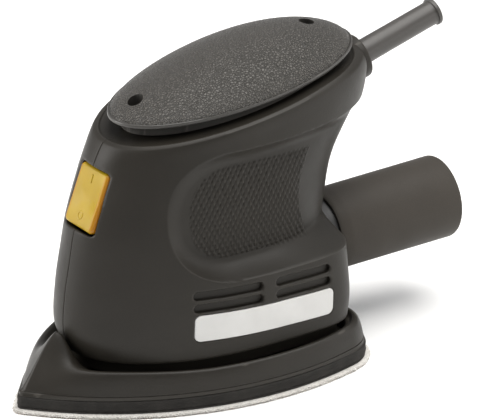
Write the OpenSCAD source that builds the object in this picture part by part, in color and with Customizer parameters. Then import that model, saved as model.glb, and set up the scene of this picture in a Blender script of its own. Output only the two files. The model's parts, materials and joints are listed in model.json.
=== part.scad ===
// Detail mouse sander: a palm-held orbital sander with an iron-shaped pad.
// Millimetres. +X points to the nose, +Y to the tool's left, +Z up.
// The origin is the centre of the underside of the sanding sheet.

/* [Pad] */
// Length of the sanding sheet, nose to heel
pad_len = 150; // [148:1:152]
// Greatest width of the sanding sheet
pad_w = 100; // [98:1:101]
// Thickness of the sanding sheet
sheet_t = 1.6; // [1.2:0.1:1.8]
// Thickness of the hook layer
hook_t = 0.9; // [0.6:0.1:1.0]
// Top of the foam cushion above the work surface
cushion_top = 7; // [6.5:0.1:7]
// Diameter of the dust holes through the pad
dust_hole_d = 8; // [5:0.5:9]

/* [Housing] */
// Greatest width of the housing
body_w = 82.8; // [81:0.2:83.6]
// Wall thickness of the housing shells
wall = 2.4; // [1.8:0.1:2.8]
// Depth of the pocket for the label plate
label_pocket = 0.7; // [0.4:0.1:1]
// Height of one vent slot
vent_h = 3.7; // [3:0.1:4]

/* [Top cap] */
// Length of the palm cap
cap_len = 113; // [110:0.5:115]
// Width of the palm cap
cap_w = 57.2; // [55:0.2:60]
// Rise of the dome above its rim
cap_dome = 14; // [12:0.1:15]

/* [Dust tube] */
// Outer diameter of the dust tube
tube_od = 34; // [33:0.2:35]
// Length of the dust tube
tube_len = 58.7; // [50:0.1:65]
// Length of the hose socket inside the end of the tube
socket_l = 30; // [20:0.5:31]
// Radial clearance between tube and port
tube_fit = 0.1; // [0.05:0.01:0.15]

/* [Cord guard] */
// Length of the cord guard outside the collar
guard_len = 34; // [28:1:38]
// Bore for the flexible cord
guard_bore_d = 5.8; // [5:0.1:6.2]
// Angle of the guard above horizontal
guard_tilt = 14.5; // [13:0.5:16]

/* [Switch] */
// Width of the rocker
rocker_w = 19; // [18:0.5:19]
// Length of the rocker
rocker_l = 25.5; // [24:0.5:25.5]

/* [Drive] */
// Offset of the eccentric pin, half the orbit diameter
orbit_r = 0.8; // [0.5:0.1:0.8]
// Position of the motor axis behind the pad centre
motor_x = -14; // [-15:0.5:-13]
// Number of blades on the fan
fan_blades = 12; // [8:1:16]

/* [Hidden] */
$fn = 48;

// ---------- helper functions ----------
function ss(t) = let(u = min(max(t, 0), 1)) u*u*(3 - 2*u);
function clamp01(t) = min(max(t, 0), 1);
function mix(a, b, t) = a + (b - a)*t;

// ---------- housing sections ----------
// each level: height, front X, rear X, half width, X of the widest place, front fullness, rear fullness
hw0 = body_w/2;
LV = [
    [20, 47.5, -66.3, hw0 - 0.4, -25, 2.05, 5.6],
    [30, 51.7, -67.2, hw0, -25, 1.97, 5.6],
    [45, 51.2, -67.2, hw0 - 0.3, -25, 1.95, 5.0],
    [60, 49.0, -70.0, hw0 - 1.8, -24, 1.97, 3.4],
    [80, 46.1, -75.2, hw0 - 4.4, -24, 2.0, 2.4],
    [100, 40.3, -89.0, hw0 - 6.6, -27, 2.08, 2.1],
    [110, 36.2, -91.4, hw0 - 7.4, -29, 2.1, 2.1],
    [115, 33.4, -89.5, hw0 - 7.6, -29, 2.1, 2.1],
    [117, 31.7, -87.0, hw0 - 8.2, -29, 2.1, 2.1]];
function seg(tab, h, i = 0) = (i < len(tab) - 2 && h > tab[i + 1][0]) ? seg(tab, h, i + 1) : i;
function cr(tab, h, k) = let(n = len(tab), i = seg(tab, h), x0 = tab[i][0], x1 = tab[i + 1][0], d = x1 - x0,
    t = clamp01((h - x0)/d), y0 = tab[i][k], y1 = tab[i + 1][k],
    m0 = i > 0 ? (y1 - tab[i - 1][k])/(x1 - tab[i - 1][0]) : (y1 - y0)/d,
    m1 = i < n - 2 ? (tab[i + 2][k] - y0)/(tab[i + 2][0] - x0) : (y1 - y0)/d)
    (2*t^3 - 3*t^2 + 1)*y0 + (t^3 - 2*t^2 + t)*d*m0 + (-2*t^3 + 3*t^2)*y1 + (t^3 - t^2)*d*m1;
XP = -29.5;                    // the sections tilt about this X
function tilt(h) = 0.135*ss((h - 45)/65);
function gsat(t) = t < 20 ? t : 20 + 18*(1 - exp(-(t - 20)/18));
function zat(h, x) = h + tilt(h)*gsat(XP - x);

// grip recess: 1 deep inside, 0 outside
function recess(x, z) = let(dz = abs(z - 78)/27, dx = max(0, x + 10)/30.5, d = (dx^2.3 + dz^2.3)^(1/2.3)) 1 - (1 - clamp01((1 - d)/0.25))^1.8;
grip_hw = 30;                  // half width of the recessed grip
function bpt(L, h, a) = let(c = cos(a), s = abs(sin(a)), xf = L[1], xr = L[2], b = L[3], xm = L[4], nf = L[5], nr = L[6],
    ox = c >= 0 ? xm + (xf - xm)*c^(2/nf) : xm - (xm - xr)*(-c)^(2/nr),
    oy = b*s^(2/(c >= 0 ? nf : nr)),
    t = recess(ox, zat(h, ox)),
    fx = c >= 0 ? ox : xm - (xm - xr)*(-c)^(2/2.05),
    fy = c >= 0 ? min(oy, grip_hw*sqrt(1 - ((ox - xm)/90)^2)) : grip_hw*s^(2/2.05))
    [mix(ox, fx, t), mix(oy, fy, t)*(a > 180 ? -1 : 1)];
function ring2(h, n) = let(L = [for (k = [0:6]) k == 0 ? h : cr(LV, h, k)]) [for (i = [0:n - 1]) bpt(L, h, 360*i/n)];
function nrm(p, q) = let(d = q - p, l = norm(d)) [d[1], -d[0]]/l;
function inset2(r, off) = let(n = len(r)) [for (i = [0:n - 1]) r[i] - off*nrm(r[(i + n - 1) % n], r[(i + 1) % n])];
function lift(r, h) = [for (p = r) [p[0], p[1], zat(h, p[0])]];

// faces of a loft through rings of n points, closed with strips between mirrored points
function loft_faces(nr, n) = concat(
    [for (j = [0:nr - 2], i = [0:n - 1]) [j*n + i, (j + 1)*n + i, (j + 1)*n + (i + 1) % n]],
    [for (j = [0:nr - 2], i = [0:n - 1]) [j*n + i, (j + 1)*n + (i + 1) % n, j*n + (i + 1) % n]],
    [for (i = [0:n/2 - 1]) i == 0 ? [0, 1, n - 1] : (i == n/2 - 1 ? [i, n/2, n/2 + 1] : [i, i + 1, n - i - 1])],
    [for (i = [1:n/2 - 2]) [i, n - i - 1, n - i]],
    [for (i = [0:n/2 - 1]) let(o = (nr - 1)*n) i == 0 ? [o, o + n - 1, o + 1] : (i == n/2 - 1 ? [o + i, o + n/2 + 1, o + n/2] : [o + i, o + n - i - 1, o + i + 1])],
    [for (i = [1:n/2 - 2]) let(o = (nr - 1)*n) [o + i, o + n - i, o + n - i - 1]]);
function flat(l) = [for (a = l) each a];
module loft(rings) { polyhedron(points = flat(rings), faces = loft_faces(len(rings), len(rings[0])), convexity = 6); }

NB = 46;
skirt_z = 13; skirt_in = 4.2;    // lower lip of the housing, tucked inside the rim of the platen
H_OUT = [20, 22.5, 27, 34, 42, 48, 51, 53, 55, 57.5, 61, 70, 78, 86, 93, 96.5, 99, 101.5, 104, 107, 111, 114, 116];
H_IN = [24, 34, 46, 51, 54, 57.5, 62, 78, 92, 97, 101, 105, 110, 113];
module body_outer() { loft(concat([for (z = [skirt_z, 19.2]) [for (p = inset2(ring2(20, NB), skirt_in)) [p[0], p[1], z]]], [for (h = H_OUT) lift(ring2(h, NB), h)], [lift(inset2(ring2(117, NB), 1.2), 117)])); }
module body_inner() {
    loft(concat([for (z = [skirt_z - 1, 19]) [for (p = inset2(ring2(20, NB), skirt_in + wall - 0.4)) [p[0], p[1], z]]],
        [for (h = H_IN) lift(inset2(ring2(h, NB), wall), h)], [lift(inset2(ring2(114.4, NB), wall + 1), 114.4)]));
}

// ---------- outline of the pad ----------
rn = 4; rc = 20; xa = -26;
Rside = ((pad_len/2 - xa - rn)^2 + (pad_w/2)^2 - rn^2)/(2*(pad_w/2 - rn));
ya = pad_w/2 - Rside;
function out_half(e) = let(r = max(rn - e, 0.6), cx = xa + sqrt((Rside - e - r)^2 - ya^2), fn0 = atan2(-ya, cx - xa),
    kx = -pad_len/2 + rc, ky = ya + sqrt((Rside - rc)^2 - (kx - xa)^2), fr = atan2(ky - ya, kx - xa)) concat(
    [for (i = [0:3]) [cx + r*cos(fn0*i/3), r*sin(fn0*i/3)]],
    [for (i = [1:16]) let(f = mix(fn0, fr, (i/16)^1.5)) [xa + (Rside - e)*cos(f), ya + (Rside - e)*sin(f)]],
    [for (i = [1:5]) let(f = mix(fr, 180, i/5)) [kx + (rc - e)*cos(f), ky + (rc - e)*sin(f)]],
    [for (i = [1:3]) [-pad_len/2 + e, ky*(1 - i/3)]]);
function full(hf) = concat(hf, [for (i = [len(hf) - 2:-1:1]) [hf[i][0], -hf[i][1]]]);
function outline(e) = full(out_half(e));
// ring of the platen: inset, nose X, height along the flanks, their rise to the front, height at the nose
function pring(e, xt, zf, za, zn) = let(o = outline(e), tip = o[0][0]) [for (q = o)
    let(y = abs(q[1]), nose = q[0] > 20, wx = nose ? exp(-(y/12)^1.5) : 0, wz = nose ? exp(-(y/7.5)^1.9) : 0)
    [q[0] - (tip - xt)*wx, q[1], mix(zf + za*ss((q[0] - 5)/40), zn, wz)]];

// ---------- drive heights ----------
ex = motor_x + orbit_r;        // axis of the eccentric pin at rest
posts = [[26, 14], [26, -14], [-52, 22], [-52, -22]];
holes = [[50, 0], [12, 27], [12, -27], [-16, 34], [-16, -34], [-40, 31], [-40, -31], [-64, 0]];
hscr = [[38, 33, 23], [-57, 62.5, 26], [24, 101.5, 22], [-70, 99, 20]];   // housing screws: X, Z, depth of the seat
cscr = [16.6, -66.8];          // cap screws: X
module dust_holes(z0, z1) { for (p = holes) translate([p[0], p[1], z0]) cylinder(d = dust_hole_d, h = z1 - z0); }

// ---------- switch frame ----------
rk = [40.9, 86, 21.4];         // X, Z of the rocker face centre, lean
module at_switch() { translate([rk[0], 0, rk[1]]) rotate([0, -rk[2], 0]) children(); }
pv = -8.5;                     // pivot depth behind the face

// ---------- guard frame ----------
gp = [-91.5, 113.4];
module at_guard() { translate([gp[0], 0, gp[1]]) rotate([0, -(90 - guard_tilt), 0]) children(); }

// ---------- housing ----------
function lab(off) = [for (x = [-50.3:4.923:13.8]) let(L = [for (k = [0:6]) k == 0 ? 32 : cr(LV, 32, k)], xf = L[1], xr = L[2],
    b = L[3], xm = L[4], t = x >= xm ? (x - xm)/(xf - xm) : (xm - x)/(xm - xr), n = x >= xm ? L[5] : L[6]) [x, b*(1 - t^n)^(1/n) + off]];
module lab_slab(o0, o1, grow) {
    rotate([0, -2, 0]) translate([0, 0, 27.6 - grow]) linear_extrude(11.3 + 2*grow)
        polygon(concat([for (p = lab(o0)) [p[0] + (p[0] < -20 ? -grow : grow), p[1]]], [let(l = lab(o1)) for (i = [len(l) - 1:-1:0]) [l[i][0] + (l[i][0] < -20 ? -grow : grow), l[i][1]]]));
}
module vent(x0, x1, z, sgn) {
    hull() for (x = [x0 - vent_h/2, x1 + vent_h/2]) translate([x, sgn*30, z + 0.028*x]) rotate([-90*sgn, 0, 0]) cylinder(d = vent_h, h = 16, $fn = 16);
}
module vents(sgn) { for (z = [41.9, 47.2]) { vent(12.6, -17.6, z, sgn); vent(-23.8, -50.5, z, sgn); } }
module housing_body() {
    difference() {
        union() {
            difference() {
                union() { body_outer(); at_guard() translate([0, 0, -6]) cylinder(r = 9.5, h = 7.5, $fn = 32); }
                body_inner();
                // neat dust port opening and switch window
                translate([-80, 0, 40.4]) rotate([0, 90, 0]) cylinder(r = 15.1, h = 30, $fn = 40);
                at_switch() translate([-14, -rocker_w/2 - 0.5, -13.8]) cube([24, rocker_w + 1, 26.9]);
            }
            // screw bosses across the seam
            intersection() {
                for (s = hscr) translate([s[0], -34, s[1]]) rotate([-90, 0, 0]) cylinder(r = 4.6, h = 68, $fn = 20);
                body_outer();
            }
            // seat for the upper bearing and screw posts for the cap
            intersection() {
                union() {
                    translate([motor_x, 0, 99.5]) cylinder(r = 13.6, h = 30, $fn = 32);
                    for (x = cscr) translate([x, 0, x > 0 ? 101 : 109]) cylinder(r = 4.2, h = 30, $fn = 20);
                    // ribs that carry the motor bracket
                    hull() for (y = [-26, 26]) translate([38, y, 33]) cylinder(r = 1.2, h = 2.9, $fn = 8);
                    for (x = [-42, -2], s = [-1, 1]) hull() for (y = [36, 44]) translate([x, s*y, 33]) cylinder(r = 1.5, h = 2.95, $fn = 8);
                }
                body_outer();
            }
        }
        translate([motor_x, 0, 99]) cylinder(r = 11.25, h = 9.6, $fn = 40);
        translate([motor_x, 0, 99]) cylinder(r = 4.5, h = 12.5, $fn = 24);
        for (x = cscr) translate([x, 0, 95]) cylinder(r = 1.75, h = 40, $fn = 16);
        // screw seats, entered from the right
        for (s = hscr) translate([s[0], 0, s[1]]) {
            rotate([90, 0, 0]) translate([0, 0, -14]) cylinder(r = 2.3, h = 50, $fn = 16);
            rotate([90, 0, 0]) translate([0, 0, s[2] - 9.5]) cylinder(r = 4, h = 40, $fn = 20);
        }
        // cord guard: passage and inner pocket
        at_guard() translate([0, 0, -14]) cylinder(r = 5.45, h = 40, $fn = 32);
        at_guard() translate([0, 0, -16]) cylinder(r = 7.6, h = 12.6, $fn = 32);
        vents(1); vents(-1);
        lab_slab(-label_pocket, 3, 0.2);
    }
}
module housing_left() { color("#3e3c38") intersection() { housing_body(); translate([-150, 0, 0]) cube([300, 60, 160]); } }
module housing_right() { color("#3e3c38") intersection() { housing_body(); translate([-150, -60, 0]) cube([300, 60, 160]); } }

// ---------- top cap ----------
cx0 = -29.5; ca = cap_len/2; cb = cap_w/2;
function rimz(x) = 121.6 + 0.093*(cx0 - x);
function cring(r, f) = [for (i = [0:47]) let(a = 7.5*i, x = cx0 + ca*r*cos(a), y = cb*r*sin(a)) [x, y, f == 0 ? zat(117, x) + 0.06 :
    (f == 1 ? rimz(x) - 1.6 : rimz(x) + max(0, 1 - r*r)^0.71*(cap_dome + 2.5*(cx0 - x)/ca))]];
function cdrop(r, d) = [for (p = cring(r, 2)) p - [0, 0, d]];
module top_cap() {
    color("#3a3835") difference() {
        union() {
            difference() {
                loft([cring(0.9, 0), cring(0.9, 1), cring(1, 1), cring(1, 2), cring(0.99, 2), cring(0.96, 2), cring(0.9, 2), cring(0.8, 2), cring(0.66, 2), cring(0.5, 2), cring(0.3, 2), cring(0.08, 2)]);
                loft([[for (p = cring(0.86, 0)) p - [0, 0, 2]], cdrop(0.86, 2.6), cdrop(0.76, 2.6), cdrop(0.6, 2.6), cdrop(0.4, 2.6), cdrop(0.08, 2.6)]);
            }
            intersection() {
                union() {
                    for (x = cscr) translate([x, 0, 100]) cylinder(r = 4.6, h = 50, $fn = 24);
                    for (k = [-3.5:1:3.5]) hull() for (y = [-20, 20]) translate([cx0 + 12*k + 4, y, 110]) cylinder(r = 0.8, h = 40, $fn = 6);
                }
                loft([cring(0.88, 0), cdrop(0.88, 1.2), cdrop(0.8, 1.2), cdrop(0.66, 1.2), cdrop(0.4, 1.2), cdrop(0.08, 1.2)]);
            }
        }
        for (x = cscr) translate([x, 0, 100]) { cylinder(r = 1.9, h = 50, $fn = 20); translate([0, 0, zat(117, x) - 100 + 3]) cylinder(r = 3.15, h = 40, $fn = 28); }
    }
}
module pan_screw(r, l, rh, hh) {     // head on top of a shank that points down
    translate([0, 0, -l]) cylinder(r = r, h = l);
    difference() { cylinder(r = rh, h = hh); translate([-0.5, -rh*0.7, hh*0.45]) cube([1, rh*1.4, hh]); translate([-rh*0.7, -0.5, hh*0.45]) cube([rh*1.4, 1, hh]); }
}
module cap_screws() { color("#8d8f92") for (x = cscr) translate([x, 0, zat(117, x) + 3.05]) pan_screw(1.6, 11, 3, 2); }
module housing_screws() { color("#8d8f92") for (s = hscr) translate([s[0], -(s[2] - 9.5) - 0.05, s[1]]) rotate([90, 0, 0]) pan_screw(2, s[2] - 1, 3.6, 2.2); }
module label_plate() { color("#dcd9d3") lab_slab(-label_pocket + 0.12, 0.15, 0); }

// ---------- switch ----------
module switch_rocker() {
    color("#e0c650") at_switch() {
        difference() {
            translate([0, rocker_w/2, 0]) rotate([90, 0, 0]) linear_extrude(rocker_w) polygon([
                [-6, -rocker_l/2 + 0.4], [-2, -rocker_l/2], [-0.6, -rocker_l/2 + 0.6], [0, -rocker_l/2 + 2], [-0.2, -6], [-0.45, 0], [-0.2, 6],
                [0, rocker_l/2 - 2], [-0.6, rocker_l/2 - 0.6], [-2, rocker_l/2], [-6, rocker_l/2 - 0.4]]);
            translate([-9, -rocker_w/2 + 1.6, -rocker_l/2 + 1.8]) cube([6.6, rocker_w - 3.2, rocker_l - 3.6]);
        }
        for (y = [-rocker_w/2, rocker_w/2 - 2]) translate([-10.4, y, -3]) cube([8, 2, 6]);
        translate([pv, rocker_w/2 - 1.9, 0]) rotate([-90, 0, 0]) cylinder(r = 1.5, h = 3.5);
        translate([pv, -rocker_w/2 + 1.9, 0]) rotate([90, 0, 0]) cylinder(r = 1.5, h = 3.5);
        translate([-10.4, -3, -1.5]) cube([8.4, 6, 3]);
    }
}
module switch_body() {
    color("#22211f") at_switch() difference() {
        union() {
            translate([-25, -9.3, -11]) cube([13, 18.6, 22]);
            for (y = [-11.6, 9.9]) translate([-25, y, -8]) cube([19.4, 1.7, 16]);
            for (y = [-10.2, 8.7]) translate([-25, y, -8]) cube([13, 1.5, 16]);
        }
        for (y = [-12, 9.5]) translate([pv, y, 0]) rotate([-90, 0, 0]) cylinder(r = 1.55, h = 2.5);
        translate([-17, -4, -3]) cube([6, 8, 6]);
    }
}
module switch_terminals() { color("#c9a44a") at_switch() for (z = [-6, 0.5, 7]) translate([-29.5, -3.15, z]) cube([4.5, 6.3, 0.8]); }
module capacitor() { color("#c8b26a") translate([-66, -8, 76]) cube([14, 16, 9]); color("#c8b26a") for (y = [-5, 5]) translate([-52, y, 80.5]) rotate([0, 90, 0]) cylinder(r = 0.5, h = 5); }

// ---------- cord guard ----------
module cord_guard() {
    g = guard_len + 6;
    color("#2b2a28") at_guard() rotate_extrude() polygon([[guard_bore_d/2, -8], [7.2, -8], [7.2, -4.6], [5.15, -4.6], [5.15, 6], [5.1, 9], [5.02, g - 2.6],
        [5.02, g - 2.2], [5.75, g - 1.8], [5.75, g - 0.4], [5.3, g], [guard_bore_d/2, g]]);
}
module cord_clamp() { color("#55524d") difference() { translate([-80.5, -9, 99.6]) cube([5.5, 18, 4]); for (y = [-6, 6]) translate([-77.75, y, 98]) cylinder(r = 1.65, h = 8); } }
module clamp_screws() { color("#8d8f92") for (y = [-6, 6]) translate([-77.75, y, 103.65]) pan_screw(1.6, 8, 2.8, 1.8); }

// ---------- dust port and tube ----------
px1 = -98.7;
module xtube(x0, x1, ro, ri) { translate([x0, 0, 40.4]) rotate([0, 90, 0]) difference() { cylinder(r = ro, h = x1 - x0); translate([0, 0, -1]) cylinder(r = ri, h = x1 - x0 + 2); } }
pr = tube_od/2 - 2.2 - tube_fit;         // outer radius of the port spigot
module dust_port() {
    color("#2e2d2a") difference() {
        union() { xtube(px1, -49, pr, pr - 1.9); xtube(-64.2, -62.2, pr + 1.6, pr - 1.9); }
        translate([-66, -20, 53]) cube([18, 40, 10]);
    }
}
tx0 = -73.7;
module dust_tube() {
    color("#44423e") translate([tx0, 0, 40.4]) rotate([0, -90, 0]) rotate_extrude() polygon([[tube_od/2 - 2.2, 0], [tube_od/2 - 1, 0], [tube_od/2, 5.3],
        [tube_od/2, tube_len - 1], [tube_od/2 - 0.8, tube_len], [tube_od/2 - 1.8, tube_len], [tube_od/2 - 1.8, tube_len - socket_l], [tube_od/2 - 2.2, tube_len - socket_l]]);
}

// ---------- motor ----------
module ring(z0, z1, ro, ri, x = motor_x, y = 0) { translate([x, y, z0]) difference() { cylinder(r = ro, h = z1 - z0); translate([0, 0, -1]) cylinder(r = ri, h = z1 - z0 + 2); } }
module stator_core() {
    color("#8a8c90") difference() {
        ring(50, 76, 23.5, 14.1);
        for (s = [-1, 1]) translate([motor_x - 5, s*19.6 - 1.6, 49]) cube([10, 3.2, 28]);
    }
}
module field_coils() {
    color("#b06a34") for (a = [0, 180]) translate([motor_x, 0, 0]) rotate([0, 0, a - 68]) {
        translate([0, 0, 76.05]) rotate_extrude(angle = 136) polygon([[15.5, 0], [21.4, 0], [21.4, 3.4], [20, 4.6], [16.8, 4.6], [15.5, 3.4]]);
        translate([0, 0, 45.4]) rotate_extrude(angle = 136) polygon([[16.8, 0], [20, 0], [21.4, 1.2], [21.4, 4.55], [15.5, 4.55], [15.5, 1.2]]);
    }
}
module motor_bracket() {
    color("#4a4843") difference() {
        union() {
            translate([0, 0, 36]) linear_extrude(2) polygon(inset2(ring2(37, NB), wall + 0.7));
            ring(36, 45, 13.6, 8);
            ring(38, 50, 25.2, 22.6);
            for (p = posts) ring(24, 36.5, 7.2, 6, p[0] - orbit_r, p[1]);
        }
        ring(38, 46, 11.01, 0.001);
        translate([motor_x, 0, 38]) cylinder(r = 11.01, h = 8);
        translate([motor_x, 0, 30]) cylinder(r = 8, h = 12);
        for (a = [0:60:300]) translate([motor_x, 0, 34]) rotate([0, 0, a + 30]) translate([18, 0, 0]) cylinder(r = 3, h = 5);
        translate([-72, 0, 40.4]) rotate([0, 90, 0]) cylinder(r = pr + 0.5, h = 31);
        translate([-68, -17, 30]) cube([8.5, 34, 12]);
        translate([motor_x - 30, -4, 42]) cube([60, 8, 9]);
        translate([hscr[0][0] - 5.2, -30, 30]) cube([20, 60, 10]);
    }
}
module fan_shroud() {
    color("#4a4843") difference() {
        union() { ring(21.3, 36, 32.2, 30.6); ring(21.3, 22.8, 31, 21.5); }
        translate([-60, -11, 24.5]) cube([26, 22, 12]);
    }
}
module bearing(z0, z1, ro, ri, x = motor_x) {
    difference() {
        ring(z0, z1, ro, ri, x);
        for (z = [z0 - 1, z1 - 0.5]) translate([x, 0, z]) difference() { cylinder(r = mix(ri, ro, 0.72), h = 1.5); translate([0, 0, -1]) cylinder(r = mix(ri, ro, 0.3), h = 4); }
    }
}
module lower_bearing() { color("#b8babd") bearing(38, 45, 11, 4.02); }
module upper_bearing() { color("#b8babd") bearing(100.5, 106.5, 9.5, 3.02); }
module bearing_bush() { color("#1d1c1b") union() { ring(100.5, 106.5, 11.1, 9.5); ring(106.5, 108.3, 11.1, 7.5); } }
module brush_holders() { color("#b59a4f") for (s = [-1, 1]) translate([motor_x, 0, 89]) rotate([0, 0, s*90]) difference() { translate([10.4, -4.2, -5]) cube([13, 8.4, 10]); translate([9, -3.1, -3.9]) cube([16, 6.2, 7.8]); } }
module carbon_brushes() { color("#2a2a2c") for (s = [-1, 1]) translate([motor_x, 0, 89]) rotate([0, 0, s*90]) translate([9.1, -3, -3.8]) cube([8, 6, 7.6]); }
module brush_springs() { color("#c6c8ca") for (s = [-1, 1]) for (k = [0:4]) translate([motor_x, 0, 89]) rotate([0, 0, s*90]) translate([17.2 + 1.25*k, 0, 0]) rotate([0, 90, 0]) difference() { cylinder(r = 2.4, h = 0.7); translate([0, 0, -1]) cylinder(r = 1.7, h = 3); } }

// ---------- rotor ----------
module motor_shaft() { color("#d2d4d6") translate([motor_x, 0, 0]) { translate([0, 0, 21.5]) cylinder(r = 4, h = 77); translate([0, 0, 98.5]) cylinder(r = 3, h = 10); } }
module armature_core() { color("#77797c") difference() { ring(50, 76, 13.5, 4); for (a = [0:30:330]) translate([motor_x, 0, 49]) rotate([0, 0, a]) translate([12.2, -0.8, 0]) cube([3, 1.6, 28]); } }
module armature_windings() { color("#c07a3c") translate([motor_x, 0, 0]) { translate([0, 0, 76]) rotate_extrude() polygon([[4, 0], [12.6, 0], [12.6, 2.4], [10.5, 4.6], [4, 4.6]]); translate([0, 0, 46.2]) rotate_extrude() polygon([[4, 0], [10.5, 0], [12.6, 1.6], [12.6, 3.8], [4, 3.8]]); } }
module commutator() { color("#c98a4b") difference() { ring(82, 96, 9, 4); for (a = [0:15:345]) translate([motor_x, 0, 83]) rotate([0, 0, a]) translate([8.5, -0.2, 0]) cube([2, 0.4, 12]); } }
module cooling_fan() {
    color("#5b5d57") union() {
        ring(26, 27.6, 29, 4); ring(27.5, 34.6, 7, 4);
        for (a = [0:360/fan_blades:359]) translate([motor_x, 0, 27.5]) rotate([0, 0, a]) translate([12, -0.8, 0]) cube([16, 1.6, 7]);
    }
}
module eccentric_weight() {
    color("#8f9193") difference() {
        union() {
            ring(21.4, 25.8, 9, 4.0);
            intersection() { ring(21.4, 25.8, 19.5, 4.0); translate([motor_x - 25, -25, 20]) cube([22, 50, 8]); }
            translate([ex, 0, 10.6]) cylinder(r = 5, h = 8.9);
            translate([ex, 0, 19.4]) cylinder(r = 7, h = 2.1);
        }
        translate([ex, 0, 8]) cylinder(r = 2.05, h = 10);
    }
}
module pad_screw() { color("#8d8f92") translate([ex, 0, 0]) { translate([0, 0, 9.4]) cylinder(r = 2, h = 8); translate([0, 0, 9.5]) difference() { cylinder(r = 7.2, h = 1); translate([0, 0, -1]) cylinder(r = 2, h = 3); } translate([0, 0, 7.5]) difference() { cylinder(r = 4.2, h = 2); translate([0, 0, -1]) cylinder(r = 1.8, h = 2, $fn = 6); } } }

// ---------- pad ----------
module pad_bearing() { color("#b8babd") bearing(10.5, 18.5, 13, 5.02, ex); }
module retaining_ring() { color("#9a9c9e") ring(18.5, 19.5, 13, 10.9, ex); }
module pad_hub() {
    color("#54514c") difference() {
        union() { ring(10, 12.5, 21, 9.2, ex); ring(10, 20.4, 15.6, 9.2, ex); }
        translate([ex, 0, 10.5]) cylinder(r = 13, h = 12);
        for (a = [45:90:315]) translate([ex, 0, 9]) rotate([0, 0, a]) translate([18.5, 0, 0]) cylinder(r = 1.6, h = 8);
    }
}
module hub_screws() { color("#8d8f92") for (a = [45:90:315]) translate([ex, 0, 12.5]) rotate([0, 0, a]) translate([18.5, 0, 0]) pan_screw(1.55, 4.5, 2.6, 1.6); }
module platen() {
    color("#3b3936") difference() {
        loft([pring(1.6, 72.9, 7, 0, 7), pring(1.8, 71.4, 9.4, 0, 9.4), pring(2.3, 68.8, 13.2, 0.3, 13.4), pring(3.0, 65.1, 16.1, 0.8, 19.2),
            pring(3.9, 61.4, 17.2, 1.2, 24.5), pring(5.0, 58.2, 17.3, 1.3, 28.2), pring(6.0, 56, 16.6, 1.3, 30), pring(7.0, 54.6, 15.8, 1, 30.2),
            pring(8.0, 53.7, 15.4, 0.6, 28.9), pring(8.9, 52.5, 15.2, 0.3, 25), pring(9.5, 53.2, 14.6, 0, 17), pring(9.8, 55.6, 10, 0, 10)]);
        dust_holes(5, 20);
        translate([ex, 0, 5]) cylinder(r = 9.2, h = 8);
        for (p = posts) translate([p[0], p[1], 6]) { cylinder(r = 1.7, h = 6, $fn = 20); cylinder(r = 3.9, h = 2.7, $fn = 20); }
        for (a = [45:90:315]) translate([ex, 0, 7.9]) rotate([0, 0, a]) translate([18.5, 0, 0]) cylinder(r = 1.7, h = 8, $fn = 16);
        // lightening pockets under the floor
        for (x = [-46, -34, 22, 34], s = [-1, 1]) hull() for (d = [-4, 4]) translate([x + d*0.4, s*6 + d*0.2, 6]) cylinder(r = 1.5, h = 2, $fn = 8);
    }
}
module layer(z0, z1, e) { difference() { translate([0, 0, z0]) linear_extrude(z1 - z0) polygon(outline(e)); dust_holes(z0 - 1, z1 + 1); } }
module pad_cushion() { color("#242321") layer(sheet_t + hook_t, cushion_top, 1.2); }
module hook_layer() { color("#302e2b") layer(sheet_t, sheet_t + hook_t, 1.4); }
module sanding_sheet() { color("#cbc7bf") layer(0, sheet_t, 0); }
module rubber_posts() { color("#262524") for (p = posts) difference() { union() { translate([p[0], p[1], 10]) cylinder(r = 4.5, h = 23); translate([p[0], p[1], 10]) cylinder(r = 5.8, h = 2.5); } translate([p[0], p[1], 9]) cylinder(r = 1.6, h = 12); } }
module post_screws() { color("#8d8f92") for (p = posts) translate([p[0], p[1], 8.7]) mirror([0, 0, 1]) pan_screw(1.6, 11, 3.4, 1.5); }

housing_left();
housing_right();
top_cap();
cap_screws();
housing_screws();
label_plate();
switch_rocker();
switch_body();
switch_terminals();
capacitor();
cord_guard();
cord_clamp();
clamp_screws();
dust_port();
dust_tube();
stator_core();
field_coils();
motor_bracket();
fan_shroud();
lower_bearing();
upper_bearing();
bearing_bush();
brush_holders();
carbon_brushes();
brush_springs();
motor_shaft();
armature_core();
armature_windings();
commutator();
cooling_fan();
eccentric_weight();
pad_screw();
pad_bearing();
retaining_ring();
pad_hub();
hub_screws();
platen();
pad_cushion();
hook_layer();
sanding_sheet();
rubber_posts();
post_screws();
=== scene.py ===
"""Looks of the detail mouse sander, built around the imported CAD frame.

Lengths below are millimetres unless a name says otherwise; meshes are written in metres.
+X is the nose, +Y the tool's left, +Z up, and the origin is the centre of the sheet's underside.
"""
import json
import math

import bpy
import numpy as np
from mathutils import Matrix, Vector


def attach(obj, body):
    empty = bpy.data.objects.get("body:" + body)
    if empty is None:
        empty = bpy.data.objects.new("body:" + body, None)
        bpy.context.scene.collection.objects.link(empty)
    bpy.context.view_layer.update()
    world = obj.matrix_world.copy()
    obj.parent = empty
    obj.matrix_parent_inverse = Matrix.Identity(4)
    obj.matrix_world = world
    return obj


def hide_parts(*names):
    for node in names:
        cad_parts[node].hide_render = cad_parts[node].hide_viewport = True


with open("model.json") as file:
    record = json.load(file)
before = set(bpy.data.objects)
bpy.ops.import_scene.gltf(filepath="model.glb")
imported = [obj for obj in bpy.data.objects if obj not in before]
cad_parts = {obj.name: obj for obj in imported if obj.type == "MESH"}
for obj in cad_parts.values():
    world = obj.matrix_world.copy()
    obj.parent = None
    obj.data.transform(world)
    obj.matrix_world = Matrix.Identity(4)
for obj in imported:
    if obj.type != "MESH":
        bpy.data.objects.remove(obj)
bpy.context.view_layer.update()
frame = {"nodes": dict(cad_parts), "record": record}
MM = 0.001
SC = bpy.context.scene

# ------------------------------------------------------------------ mesh helpers


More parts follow.
